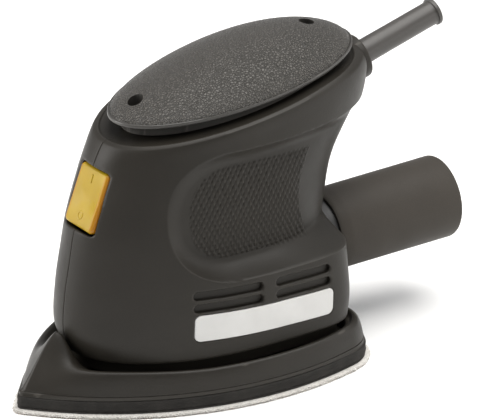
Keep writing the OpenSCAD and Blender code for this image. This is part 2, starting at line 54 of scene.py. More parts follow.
def new_mesh(name, verts, faces):
    """faces is a list of (n, k) integer arrays, k corners each."""
    me = bpy.data.meshes.new(name)
    verts = np.asarray(verts, float) * MM
    loops = np.concatenate([np.asarray(f, np.int32).ravel() for f in faces])
    counts = np.concatenate([np.full(len(f), np.asarray(f).shape[1], np.int32) for f in faces])
    starts = np.concatenate([[0], np.cumsum(counts)[:-1]]).astype(np.int32)
    me.vertices.add(len(verts))
    me.vertices.foreach_set("co", verts.ravel())
    me.loops.add(len(loops))
    me.loops.foreach_set("vertex_index", loops)
    me.polygons.add(len(counts))
    me.polygons.foreach_set("loop_start", starts)
    me.update(calc_edges=True)
    me.validate()
    return me


def volume(verts, faces):
    v = np.asarray(verts, float)
    total = 0.0
    for f in faces:
        f = np.asarray(f)
        a = v[f[:, 0]]
        for k in range(1, f.shape[1] - 1):
            total += np.einsum("ij,ij->i", a, np.cross(v[f[:, k]], v[f[:, k + 1]])).sum()
    return total


def solid(name, verts, faces):
    """A linked object with outward faces."""
    if volume(verts, faces) < 0:
        faces = [np.asarray(f)[:, ::-1] for f in faces]
    ob = bpy.data.objects.new(name, new_mesh(name, verts, faces))
    SC.collection.objects.link(ob)
    return ob


def loft(name, rings, closed_ends=True, wrap=False):
    """A skin through rings (m, n, 3) whose points run round. wrap joins the last ring to the first."""
    rings = np.asarray(rings, float)
    m, n, _ = rings.shape
    i = np.arange(n)
    j = (i + 1) % n
    quads = []
    for k in range(m - 1 + (1 if wrap else 0)):
        a, b = k * n, ((k + 1) % m) * n
        quads.append(np.stack([a + i, a + j, b + j, b + i], 1))
    faces = [np.concatenate(quads)]
    verts = rings.reshape(-1, 3)
    if closed_ends and not wrap:
        c0, c1 = rings[0].mean(0), rings[-1].mean(0)
        verts = np.concatenate([verts, [c0, c1]])
        o = (m - 1) * n
        faces.append(np.stack([j, i, np.full(n, m * n)], 1))
        faces.append(np.stack([o + i, o + j, np.full(n, m * n + 1)], 1))
    return solid(name, verts, faces)


def basis(axis):
    z = np.asarray(axis, float)
    z = z / np.linalg.norm(z)
    x = np.cross(z, [0, 0, 1.0]) if abs(z[2]) < 0.9 else np.cross([0, 1.0, 0], z)
    x = x / np.linalg.norm(x)
    return x, np.cross(z, x), z


def lathe(name, origin, axis, profile, n=96):
    """A ring of the closed profile [(r, s)] turned round the axis; every r above 0 makes a tube-like solid."""
    x, y, z = basis(axis)
    o = np.asarray(origin, float)
    a = np.linspace(0, 2 * math.pi, n, endpoint=False)
    rings = [o + z * s + r * (np.outer(np.cos(a), x) + np.outer(np.sin(a), y)) for r, s in profile]
    return loft(name, rings, wrap=True)


def rod(name, origin, axis, profile, n=64):
    """A solid of revolution with flat ends, profile [(r, s)] from one end to the other."""
    x, y, z = basis(axis)
    o = np.asarray(origin, float)
    a = np.linspace(0, 2 * math.pi, n, endpoint=False)
    rings = [o + z * s + r * (np.outer(np.cos(a), x) + np.outer(np.sin(a), y)) for r, s in profile]
    return loft(name, rings)


def box(name, lo, hi):
    lo, hi = np.asarray(lo, float), np.asarray(hi, float)
    v = np.array([[x, y, z] for x in (lo[0], hi[0]) for y in (lo[1], hi[1]) for z in (lo[2], hi[2])])
    f = np.array([[0, 1, 3, 2], [4, 6, 7, 5], [0, 4, 5, 1], [2, 3, 7, 6], [0, 2, 6, 4], [1, 5, 7, 3]])
    return solid(name, v, [f])


def boolean(a, b, op, keep=False):
    """a becomes a op b."""
    m = a.modifiers.new("cut", "BOOLEAN")
    m.operation, m.object, m.solver = op, b, "MANIFOLD"
    dg = bpy.context.evaluated_depsgraph_get()
    made = bpy.data.meshes.new_from_object(a.evaluated_get(dg), depsgraph=dg)
    a.modifiers.remove(m)
    old, a.data = a.data, made
    bpy.data.meshes.remove(old)
    if not keep:
        mesh = b.data
        bpy.data.objects.remove(b)
        bpy.data.meshes.remove(mesh)
    if len(a.data.polygons) == 0:
        raise RuntimeError("a boolean left nothing of " + a.name)
    return a


def union(obs):
    a = obs[0]
    for b in obs[1:]:
        boolean(a, b, "UNION")
    return a


def smooth(ob, angle=32):
    me = ob.data
    me.polygons.foreach_set("use_smooth", np.ones(len(me.polygons), bool))
    me.set_sharp_from_angle(angle=math.radians(angle))
    me.update()
    return ob


def copy_of(ob, name):
    c = bpy.data.objects.new(name, ob.data.copy())
    SC.collection.objects.link(c)
    return c


def piece(ob, body, mat, nodes=()):
    ob.data.materials.clear()
    ob.data.materials.append(mat)
    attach(ob, body)
    if nodes:
        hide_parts(*nodes)
    return ob


# ------------------------------------------------------------------ maths shared with the CAD


def ss(t):
    u = np.clip(t, 0, 1)
    return u * u * (3 - 2 * u)


def mix(a, b, t):
    return a + (b - a) * t


# height, front X, rear X, half width, X of the widest place, front fullness, rear fullness
LV = np.array([
    [20, 47.5, -66.3, 41.0, -25, 2.05, 5.6],
    [30, 51.7, -67.2, 41.4, -25, 1.97, 5.6],
    [45, 51.2, -67.2, 41.1, -25, 1.95, 5.0],
    [60, 49.0, -70.0, 39.6, -24, 1.97, 3.4],
    [80, 46.1, -75.2, 37.0, -24, 2.0, 2.4],
    [100, 40.3, -89.0, 34.8, -27, 2.08, 2.1],
    [110, 36.2, -91.4, 34.0, -29, 2.1, 2.1],
    [115, 33.4, -89.5, 33.8, -29, 2.1, 2.1],
    [117, 31.7, -87.0, 33.2, -29, 2.1, 2.1]])
XP = -29.5
GRIP = 30.0


def level(h):
    """The section's numbers at height h, as the CAD's spline gives them."""
    t = LV
    i = int(np.clip(np.searchsorted(t[:, 0], h, side="left") - 1, 0, len(t) - 2))
    x0, x1 = t[i, 0], t[i + 1, 0]
    d = x1 - x0
    u = min(max((h - x0) / d, 0), 1)
    y0, y1 = t[i], t[i + 1]
    m0 = (y1 - t[i - 1]) / (x1 - t[i - 1, 0]) if i > 0 else (y1 - y0) / d
    m1 = (t[i + 2] - y0) / (t[i + 2, 0] - x0) if i < len(t) - 2 else (y1 - y0) / d
    out = (2 * u**3 - 3 * u**2 + 1) * y0 + (u**3 - 2 * u**2 + u) * d * m0 + (-2 * u**3 + 3 * u**2) * y1 + (u**3 - u**2) * d * m1
    out[0] = h
    return out


def tilt(h):
    return 0.135 * ss((h - 45) / 65)


def gsat(t):
    return np.where(t < 20, t, 20 + 18 * (1 - np.exp(-(np.maximum(t, 20) - 20) / 18)))


def zat(h, x):
    return h + tilt(h) * gsat(XP - np.asarray(x, float))


def recess(x, z):
    dz = np.abs(z - 78) / 27
    dx = np.maximum(0, x + 10) / 30.5
    d = (dx**2.3 + dz**2.3) ** (1 / 2.3)
    return 1 - (1 - np.clip((1 - d) / 0.25, 0, 1)) ** 1.8


def half_dense(L):
    """Dense samples (x, y, h-independent floor) of half a section, from the front seam to the rear one."""
    _, xf, xr, b, xm, nf, nr = L
    w = np.linspace(0, 1, 420)
    out = []
    for n, span, sgn in ((nf, xf - xm, 1), (nr, xm - xr, -1)):
        k = 2 ** (-1 / n)
        sy = np.linspace(0, k, 420)          # y over b, from the end of the section
        s1 = sy ** (n / 2)
        c1 = np.sqrt(np.maximum(1 - s1**2, 0))
        t2 = np.linspace(k, 0, 420)[1:]      # then x over the span
        c2 = t2 ** (n / 2)
        s2 = np.sqrt(np.maximum(1 - c2**2, 0))
        c, s = np.concatenate([c1, c2]), np.concatenate([s1, s2])
        out.append((c, s, n, span, sgn))
    (cf, sf, n1, sp1, _), (cr_, sr, n2, sp2, _) = out
    xo = np.concatenate([xm + sp1 * cf ** (2 / n1), (xm - sp2 * cr_ ** (2 / n2))[::-1][1:]])
    yo = np.concatenate([b * sf ** (2 / n1), (b * sr ** (2 / n2))[::-1][1:]])
    fx = np.concatenate([xo[: len(cf)], (xm - sp2 * cr_ ** (2 / 2.05))[::-1][1:]])
    yf = np.minimum(yo[: len(cf)], GRIP * np.sqrt(np.maximum(1 - ((xo[: len(cf)] - xm) / 90) ** 2, 0)))
    fy = np.concatenate([yf, (GRIP * sr ** (2 / 2.05))[::-1][1:]])
    return xo, yo, fx, fy


def stations(fine=0.42, coarse=0.85, half=165.0):
    """Fractions of the half girth, close together over the grip and at the seams."""
    f = np.linspace(0, 1, 4001)
    step = np.where((f > 0.24) & (f < 0.80), fine, coarse)
    k = np.ones(41) / 41
    step = np.convolve(np.pad(step, 20, mode="edge"), k, mode="valid")
    edge = np.minimum(f, 1 - f) * half
    step = np.minimum(step, 0.16 + 0.30 * edge)
    dens = 1 / step
    c = np.concatenate([[0], np.cumsum((dens[1:] + dens[:-1]) / 2)])
    c /= c[-1]
    total = (half * np.mean(dens))
    n = int(round(total))
    return np.interp(np.linspace(0, 1, n + 1), c, f)


def half_section(h, st):
    """Points (k, 3) of the left half of the body at level h, at fractions st of its girth."""
    L = level(h)
    xo, yo, fx, fy = half_dense(L)
    t = recess(xo, zat(h, xo))
    x, y = mix(xo, fx, t), mix(yo, fy, t)
    d = np.concatenate([[0], np.cumsum(np.hypot(np.diff(x), np.diff(y)))])
    q = st * d[-1]
    X, Y = np.interp(q, d, x), np.interp(q, d, y)
    X0 = np.interp(q, d, xo)
    Y[0] = Y[-1] = 0
    return np.stack([X, Y, zat(h, X0)], 1)


def full_ring(hs):
    """Mirrors a half (k, 3) into a closed ring."""
    other = hs[-2:0:-1] * np.array([1, -1, 1])
    return np.concatenate([hs, other])


def inset_ring(r, off):
    """Moves a ring inward by off in plan (off may be an array)."""
    d = np.roll(r, -1, 0) - np.roll(r, 1, 0)
    n = np.stack([d[:, 1], -d[:, 0]], 1)
    n /= np.linalg.norm(n, axis=1)[:, None]
    out = r.copy()
    out[:, :2] -= n * np.asarray(off)[..., None] if np.ndim(off) else n * off
    return out


# ------------------------------------------------------------------ materials


def srgb(r, g, b):
    def f(c):
        c /= 255
        return c / 12.92 if c <= 0.04045 else ((c + 0.055) / 1.055) ** 2.4
    return (f(r), f(g), f(b), 1)


class Mat:
    """A node material built step by step."""

    def __init__(self, name):
        self.m = bpy.data.materials.new(name)
        self.m.use_nodes = True
        self.nt = self.m.node_tree
        self.p = self.nt.nodes["Principled BSDF"]
        self.co = self.add("ShaderNodeTexCoord").outputs["Object"]

    def add(self, kind, **inputs):
        n = self.nt.nodes.new(kind)
        return n

    def link(self, a, b):
        self.nt.links.new(a, b)

    def mapped(self, scale=(1, 1, 1), rot=(0, 0, 0)):
        n = self.add("ShaderNodeMapping")
        n.inputs["Scale"].default_value = scale
        n.inputs["Rotation"].default_value = rot
        self.link(self.co, n.inputs["Vector"])
        return n.outputs["Vector"]

    def noise(self, scale, detail=3, rough=0.5, vec=None, dist=0.0):
        n = self.add("ShaderNodeTexNoise")
        n.inputs["Scale"].default_value = scale
        n.inputs["Detail"].default_value = detail
        n.inputs["Roughness"].default_value = rough
        n.inputs["Distortion"].default_value = dist
        self.link(vec or self.co, n.inputs["Vector"])
        return n.outputs["Fac"]

    def voronoi(self, scale, feature="F1", vec=None, out="Distance"):
        n = self.add("ShaderNodeTexVoronoi")
        n.feature = feature
        n.inputs["Scale"].default_value = scale
        self.link(vec or self.co, n.inputs["Vector"])
        return n.outputs[out]

    def ramp(self, fac, stops):
        n = self.add("ShaderNodeValToRGB")
        r = n.color_ramp
        while len(r.elements) > 1:
            r.elements.remove(r.elements[-1])
        r.elements[0].position, r.elements[0].color = stops[0]
        for p, c in stops[1:]:
            e = r.elements.new(p)
            e.color = c
        self.link(fac, n.inputs["Fac"])
        return n.outputs["Color"]

    def remap(self, fac, lo, hi, a=0.0, b=1.0):
        n = self.add("ShaderNodeMapRange")
        n.inputs["From Min"].default_value, n.inputs["From Max"].default_value = a, b
        n.inputs["To Min"].default_value, n.inputs["To Max"].default_value = lo, hi
        self.link(fac, n.inputs["Value"])
        return n.outputs["Result"]

    def math(self, op, a, b):
        n = self.add("ShaderNodeMath")
        n.operation = op
        for k, v in ((0, a), (1, b)):
            if isinstance(v, (int, float)):
                n.inputs[k].default_value = v
            else:
                self.link(v, n.inputs[k])
        return n.outputs[0]

    def mixc(self, fac, a, b, mode="MIX"):
        n = self.add("ShaderNodeMix")
        n.data_type = "RGBA"
        n.blend_type = mode
        if isinstance(fac, (int, float)):
            n.inputs["Factor"].default_value = fac
        else:
            self.link(fac, n.inputs["Factor"])
        for key, v in ((6, a), (7, b)):
            if isinstance(v, tuple):
                n.inputs[key].default_value = v
            else:
                self.link(v, n.inputs[key])
        return n.outputs[2]

    def bump(self, height, strength, distance_mm, normal=None):
        n = self.add("ShaderNodeBump")
        n.inputs["Strength"].default_value = strength
        n.inputs["Distance"].default_value = distance_mm * MM
        self.link(height, n.inputs["Height"])
        if normal is not None:
            self.link(normal, n.inputs["Normal"])
        return n.outputs["Normal"]

    def pointiness(self):
        return self.add("ShaderNodeNewGeometry").outputs["Pointiness"]

    def set(self, color=None, rough=None, normal=None, **consts):
        if color is not None:
            if isinstance(color, tuple):
                self.p.inputs["Base Color"].default_value = color
            else:
                self.link(color, self.p.inputs["Base Color"])
        if rough is not None:
            if isinstance(rough, (int, float)):
                self.p.inputs["Roughness"].default_value = rough
            else:
                self.link(rough, self.p.inputs["Roughness"])
        if normal is not None:
            self.link(normal, self.p.inputs["Normal"])
        for k, v in consts.items():
            self.p.inputs[k.replace("_", " ")].default_value = v
        return self


def plastic(name, rgb, dark=0.88, light=1.1, rough=(0.42, 0.56), grain=2200, grain_h=0.03, grain_s=0.35, wear=0.0, wear_rgb=None, spec=0.5):
    """Moulded plastic: slow colour drift, fine spark-eroded grain, edges a little lighter where hands rub."""
    m = Mat(name)
    base = srgb(*rgb)
    d = tuple(c * dark for c in base[:3]) + (1,)
    l = tuple(c * light for c in base[:3]) + (1,)
    big = m.noise(28, 3, 0.55)
    col = m.ramp(big, [(0.3, d), (0.55, base), (0.75, l)])
    speck = m.noise(grain, 2, 0.6)
    col = m.mixc(m.remap(speck, 0, 0.22, 0.45, 0.75), col, tuple(min(1, c * 1.5) for c in base[:3]) + (1,))
    if wear:
        e = m.remap(m.pointiness(), 0, wear, 0.515, 0.60)
        col = m.mixc(e, col, srgb(*(wear_rgb or rgb)))
    rg = m.remap(m.noise(60, 4, 0.6), rough[0], rough[1], 0.3, 0.7)
    cells = m.voronoi(grain * 0.6)
    h = m.math("ADD", m.math("MULTIPLY", cells, 0.6), m.math("MULTIPLY", speck, 0.5))
    m.set(color=col, rough=rg, normal=m.bump(h, grain_s, grain_h), Specular_IOR_Level=spec)
    return m.m


def metal(name, rgb, rough=(0.22, 0.4), brushed=None, spots=True):
    """Metal with fine machining lines or tumbling marks and a slight stain."""
    m = Mat(name)
    base = srgb(*rgb)
    vec = m.mapped(brushed or (1, 1, 1))
    lines = m.noise(900, 3, 0.6, vec)
    stain = m.noise(120, 4, 0.6)
    col = m.ramp(stain, [(0.25, tuple(c * 0.72 for c in base[:3]) + (1,)), (0.5, base), (0.8, tuple(min(1, c * 1.15) for c in base[:3]) + (1,))])
    rg = m.math("ADD", m.remap(lines, rough[0], rough[1], 0.3, 0.7), m.remap(stain, -0.04, 0.08, 0.3, 0.8))
    m.set(color=col, rough=rg, normal=m.bump(lines, 0.25, 0.02), Metallic=1.0)
    return m.m


def leather_grain(name, rgb):
    """The cap: moulded with a coarse pebbled grain whose flanks glitter; its colour carries painted shade in the
    grain's hollows and a painted highlight on the cell tops.
    """
    m = Mat(name)
    base = srgb(*rgb)
    warp = m.add("ShaderNodeVectorMath")
    warp.operation = "ADD"
    n = m.add("ShaderNodeTexNoise")
    n.inputs["Scale"].default_value = 700
    n.inputs["Detail"].default_value = 2
    m.link(m.co, n.inputs["Vector"])
    sc = m.add("ShaderNodeVectorMath")
    sc.operation = "SCALE"
    sc.inputs["Scale"].default_value = 0.0007
    m.link(n.outputs["Color"], sc.inputs[0])
    m.link(m.co, warp.inputs[0])
    m.link(sc.outputs[0], warp.inputs[1])
    v = warp.outputs[0]
    cells = m.voronoi(980, "F1", v)
    edge = m.voronoi(980, "DISTANCE_TO_EDGE", v)
    fine = m.noise(2600, 2, 0.6)
    h = m.math("ADD", m.remap(edge, 0, 1, 0.0, 0.22), m.math("MULTIPLY", fine, 0.45))
    # painted shade and painted highlight: the colour runs from half the base at the grain's cell edges to 1.4 times the
    # base on the cell tops
    tone = m.remap(edge, 0.0, 1.0, 0.02, 0.2)
    col = m.mixc(tone, tuple(c * 0.5 for c in base[:3]) + (1,), tuple(min(1, c * 1.4) for c in base[:3]) + (1,))
    col = m.mixc(m.remap(m.noise(35, 3), 0, 0.35, 0.35, 0.7), col, base)
    rg = m.remap(cells, 0.28, 0.46, 0.0, 0.6)
    m.set(color=col, rough=rg, normal=m.bump(h, 1.0, 0.42), Specular_IOR_Level=0.56)
    return m.m


CHARCOAL = plastic("charcoal_moulded_plastic", (38, 35, 30), rough=(0.40, 0.52), grain=1500, grain_h=0.06, grain_s=0.5, wear=0.4, wear_rgb=(80, 76, 70), spec=0.24)
SMOOTH_DARK = plastic("smooth_dark_plastic", (44, 42, 39), rough=(0.34, 0.44), grain=2600, grain_h=0.02, grain_s=0.2)
TUBE_M = plastic("tube_satin_plastic", (62, 58, 53), rough=(0.46, 0.58), grain=1700, grain_h=0.04, grain_s=0.35, wear=0.3, wear_rgb=(86, 82, 76), spec=0.14)
PLATEN_M = plastic("platen_plastic", (38, 35, 30), rough=(0.36, 0.46), grain=1500, grain_h=0.06, grain_s=0.5, wear=0.4, wear_rgb=(88, 84, 78), spec=0.26)
CAP_M = leather_grain("pebbled_cap_plastic", (64, 61, 56))
CAP_EDGE = plastic("cap_edge_plastic", (48, 46, 43), rough=(0.30, 0.42), grain=2400, grain_h=0.02, grain_s=0.2, wear=0.5, wear_rgb=(104, 101, 96))
BLACK_P = plastic("black_plastic", (30, 29, 28), rough=(0.36, 0.5))
FAN_P = plastic("fan_plastic", (82, 84, 78), rough=(0.4, 0.5), grain=1800)
RUBBER = plastic("black_rubber", (64, 61, 58), rough=(0.36, 0.48), grain=1500, grain_h=0.03, grain_s=0.3, spec=0.5)


def make_yellow():
    m = Mat("yellow_rocker_plastic")
    a, b, c = srgb(164, 102, 8), srgb(159, 130, 14), srgb(172, 145, 24)
    n = m.noise(90, 3, 0.5)
    col = m.ramp(n, [(0.3, b), (0.6, srgb(165, 137, 18)), (0.8, c)])
    sep = m.add("ShaderNodeSeparateXYZ")
    m.link(m.co, sep.inputs[0])
    # painted shade: the colour turns to a darker orange towards the rocker's sides, |Y| 7.1 to 9.3 mm, where they round
    # over into the switch window
    side = m.remap(m.math("ABSOLUTE", sep.outputs["Y"], 0), 0, 0.9, 0.0071, 0.0093)
    col = m.mixc(side, col, a)
    rg = m.remap(m.noise(160, 3, 0.5), 0.3, 0.42, 0.3, 0.7)
    m.set(color=col, rough=rg, normal=m.bump(m.noise(1700, 2), 0.2, 0.03), Specular_IOR_Level=0.3, Subsurface_Weight=0.12)
    m.p.inputs["Subsurface Radius"].default_value = (0.0022, 0.0012, 0.0004)
    return m.m


def make_label():
    m = Mat("bare_label_film")
    n = m.noise(50, 4, 0.55)
    col = m.ramp(n, [(0.3, srgb(196, 195, 192)), (0.55, srgb(203, 202, 199)), (0.8, srgb(210, 209, 207))])
    fleck = m.noise(900, 2, 0.6)
    col = m.mixc(m.remap(fleck, 0, 0.10, 0.55, 0.8), col, srgb(196, 193, 188))
    m.set(color=col, rough=m.remap(n, 0.30, 0.42, 0.3, 0.7), normal=m.bump(m.noise(700, 3), 0.12, 0.02), Specular_IOR_Level=0.5)
    return m.m


def make_foam():
    m = Mat("dense_black_foam")
    v = m.voronoi(1500)
    fine = m.noise(2500, 3, 0.7)
    col = m.ramp(m.noise(140, 4, 0.6), [(0.3, srgb(30, 28, 26)), (0.6, srgb(40, 38, 35)), (0.85, srgb(52, 49, 46))])
    h = m.math("ADD", v, m.math("MULTIPLY", fine, 0.4))
    m.set(color=col, rough=m.remap(fine, 0.72, 0.92, 0.3, 0.7), normal=m.bump(h, 0.7, 0.12), Specular_IOR_Level=0.3)
    return m.m


def make_hook():
    m = Mat("hook_fabric")
    w = m.add("ShaderNodeTexWave")
    w.inputs["Scale"].default_value = 700
    w.inputs["Distortion"].default_value = 1.5
    m.link(m.co, w.inputs["Vector"])
    n = m.noise(1600, 2, 0.6)
    col = m.mixc(m.remap(n, 0, 0.6, 0.3, 0.7), srgb(40, 38, 36), srgb(74, 71, 67))
    m.set(color=col, rough=0.85, normal=m.bump(m.math("ADD", w.outputs["Fac"], n), 0.8, 0.15), Specular_IOR_Level=0.3)
    return m.m


def make_sheet():
    m = Mat("loop_backed_sheet")
    fibre = m.noise(1400, 4, 0.75, m.mapped((1, 1, 3.0)))
    tone = m.noise(160, 4, 0.6)
    col = m.ramp(fibre, [(0.28, srgb(168, 165, 158)), (0.5, srgb(214, 211, 205)), (0.72, srgb(240, 238, 233))])
    col = m.mixc(m.remap(tone, 0, 0.4, 0.35, 0.7), col, srgb(186, 181, 173))
    sep = m.add("ShaderNodeSeparateXYZ")
    m.link(m.co, sep.inputs[0])
    grit = m.mixc(m.remap(m.voronoi(1700), 0, 1, 0.1, 0.7), srgb(120, 92, 70), srgb(168, 134, 104))
    under = m.remap(sep.outputs["Z"], 1, 0, 0.00012, 0.00030)
    col = m.mixc(under, col, grit)
    m.set(color=col, rough=m.remap(fibre, 0.8, 0.97, 0.3, 0.7), normal=m.bump(fibre, 0.9, 0.2), Specular_IOR_Level=0.25)
    m.p.inputs["Sheen Weight"].default_value = 0.3
    m.p.inputs["Sheen Roughness"].default_value = 0.5
    return m.m


def make_copper_wire():
    m = Mat("enamelled_copper")
    w = m.add("ShaderNodeTexWave")
    w.wave_type = "RINGS"
    w.rings_direction = "Z"
    w.inputs["Scale"].default_value = 900
    w.inputs["Distortion"].default_value = 2.0
    m.link(m.co, w.inputs["Vector"])
    n = m.noise(260, 3)
    col = m.mixc(n, srgb(150, 78, 36), srgb(206, 128, 66))
    m.set(color=col, rough=m.remap(w.outputs["Fac"], 0.22, 0.4, 0, 1), normal=m.bump(w.outputs["Fac"], 0.7, 0.15), Metallic=0.85)
    return m.m


YELLOW, LABEL_M, FOAM, HOOK_M, SHEET_M, WIRE = make_yellow(), make_label(), make_foam(), make_hook(), make_sheet(), make_copper_wire()
ZINC = metal("zinc_screws", (168, 170, 172), (0.25, 0.42))
BEARING_S = metal("bearing_steel", (196, 198, 200), (0.14, 0.28), (1, 1, 14))
LAMINATE = metal("stacked_laminations", (120, 122, 126), (0.34, 0.5), (0.4, 0.4, 7))
CAST = metal("cast_zinc", (150, 152, 154), (0.38, 0.55))
COPPER = metal("copper_bars", (196, 132, 86), (0.2, 0.36), (4, 4, 0.6))
BRASS_M = metal("brass", (190, 160, 92), (0.26, 0.4))
CARBON = plastic("carbon_block", (40, 40, 42), rough=(0.5, 0.65), grain=1400, grain_h=0.05, grain_s=0.4)
CAPAC = plastic("capacitor_case", (196, 170, 104), rough=(0.35, 0.45), grain=1200)
SLOT_MATS = {
    "charcoal_plastic": CHARCOAL, "grained_plastic": CAP_M, "tube_plastic": TUBE_M, "black_plastic": BLACK_P, "fan_plastic": FAN_P,
    "yellow_plastic": YELLOW, "label_film": LABEL_M, "black_rubber": RUBBER, "cushion_foam": FOAM, "hook_fabric": HOOK_M,
    "sheet_backing": SHEET_M, "zinc_steel": ZINC, "bearing_steel": BEARING_S, "lamination_steel": LAMINATE, "cast_zinc": CAST,
    "copper_wire": WIRE, "copper_bar": COPPER, "brass": BRASS_M, "carbon": CARBON, "capacitor_case": CAPAC}
NODE_SLOT = {}
for row in frame["record"]["subparts"]:
    NODE_SLOT[row["node"]] = row["material_slot"]
for n, ob in frame["nodes"].items():
    ob.data.materials.clear()
    ob.data.materials.append(SLOT_MATS.get(NODE_SLOT.get(n), CHARCOAL))

# ------------------------------------------------------------------ switch and guard frames
RK = np.array([40.9, 0, 86.0])
ra = math.radians(21.4)
RN = np.array([math.cos(ra), 0, math.sin(ra)])      # out of the rocker's face
RU = np.array([-math.sin(ra), 0, math.cos(ra)])     # up along the face
GP = np.array([-91.5, 0, 113.4])
ga = math.radians(14.5)
GD = np.array([-math.cos(ga), 0, math.sin(ga)])

# ------------------------------------------------------------------ housing
VENTS = [(12.6, -17.6, 41.9), (12.6, -17.6, 47.2), (-23.8, -50.5, 41.9), (-23.8, -50.5, 47.2)]
VH = 3.7
HSCR = [(38, 33, 23), (-57, 62.5, 26), (24, 101.5, 22), (-70, 99, 20)]
CSCR = (16.6, -66.8)
MX = -14.0
LAB_C, LAB_W, LAB_H, LAB_R, LAB_A = np.array([-19.5, 32.57]), 64.0, 11.3, 2.6, math.radians(2.0)


def vent_distance(x, z):
    """Distance from the nearest vent's edge, negative inside it."""
    d = np.full(np.shape(x), 99.0)
    for x0, x1, zc in VENTS:
        a, b = x1 + VH / 2, x0 - VH / 2
        t = np.clip(x, a, b)
        d = np.minimum(d, np.hypot(x - t, z - (zc + 0.028 * t)) - VH / 2)
    return d


def lab_local(x, z):
    c, s = math.cos(LAB_A), math.sin(LAB_A)
    return (x - LAB_C[0]) * c + (z - LAB_C[1]) * s, -(x - LAB_C[0]) * s + (z - LAB_C[1]) * c


def label_distance(x, z, grow=0.2):
    p, q = lab_local(x, z)
    a = np.abs(p) - (LAB_W / 2 + grow - LAB_R)
    b = np.abs(q) - (LAB_H / 2 + grow - LAB_R)
    return np.hypot(np.maximum(a, 0), np.maximum(b, 0)) + np.minimum(np.maximum(a, b), 0) - LAB_R


def rocker_distance(P, grow=0.5):
    """Distance from the switch window's edge, in the plane of the rocker."""
    q = P - RK
    a = np.abs(q[..., 1]) - (9.5 + grow - 2.2)
    u = q @ RU + 0.35
    b = np.abs(u) - (12.75 + grow + 0.2 - 2.2)
    return np.hypot(np.maximum(a, 0), np.maximum(b, 0)) + np.minimum(np.maximum(a, b), 0) - 2.2


def round_over(d, r):
    """How far a surface sinks at distance d from an edge rounded with radius r."""
    t = np.clip(d, 0, r)
    return np.where(d < r, r - np.sqrt(np.maximum(r * r - (r - t) ** 2, 0)), 0.0)


def knurl_mask(x, z):
    zc = 78 + 0.062 * np.minimum(x + 12, 0)
    dz = (z - zc) / 19.9
    dx = np.maximum(0, x + 10.5) / 20.3
    d = (np.abs(dx) ** 2.35 + np.abs(dz) ** 2.35) ** (1 / 2.35)
    rear = -44.0 - 5.6 * np.abs((z - 76) / 20) ** 2      # the rear edge bows forward in the middle
    return np.minimum((1 - d) * 20, x - rear)             # distance inside, in mm


def knurl(x, z):
    m = knurl_mask(x, z)
    p1 = 0.410 * x - 0.229 * z
    p2 = 0.410 * x + 0.229 * z
    tri = lambda p: 1 - np.abs(2 * (p - np.floor(p)) - 1)
    h = np.minimum(tri(p1), tri(p2))
    h = np.minimum(h, 0.86)
    return 0.8 * h * np.clip(m / 0.5, 0, 1) - 0.16 * np.clip(m / 0.5, 0, 1)


def body_surface(sts, rows, detail=True):
    """Grid (rows, columns, 3) of the left half of the outer skin."""
    P = np.stack([half_section(h, sts) for h in rows])
    if not detail:
        return P
    x, y, z = P[..., 0], P[..., 1], P[..., 2]
    dr = np.gradient(P, axis=0)
    dc = np.gradient(P, axis=1)
    n = np.cross(dc, dr)
    n /= np.maximum(np.linalg.norm(n, axis=2), 1e-9)[..., None]
    sgn = np.sign((n[..., 1] * np.maximum(y, 1)).sum())
    n *= sgn
    n[:, 0, 1] = n[:, -1, 1] = 0
    n /= np.maximum(np.linalg.norm(n, axis=2), 1e-9)[..., None]
    move = np.zeros(x.shape)
    side = y > 20
    move -= np.where(side, round_over(vent_distance(x, z), 0.85), 0)
    move -= np.where(side, round_over(label_distance(x, z), 0.45), 0)
    move -= np.where(x > 20, round_over(rocker_distance(P), 0.8), 0)
    move += np.where(side & (recess(x, z) > 0.55), knurl(x, z), 0)
    # seam: the two halves are chamfered where they meet
    arc = np.minimum(np.arange(x.shape[1]), np.arange(x.shape[1])[::-1])
    dist = np.minimum(
        np.concatenate([[0], np.cumsum(np.linalg.norm(np.diff(P[len(rows) // 2], axis=0), axis=1))]),
        np.concatenate([[0], np.cumsum(np.linalg.norm(np.diff(P[len(rows) // 2][::-1], axis=0), axis=1))])[::-1])
    move -= round_over(dist, 0.5)[None, :] * 0.9
    return P + n * move[..., None]


def rows_between(spec):
    out = []
    for a, b, s in spec:
        k = max(1, int(round((b - a) / s)))
        out += list(np.linspace(a, b, k + 1)[:-1])
    return out + [spec[-1][1]]


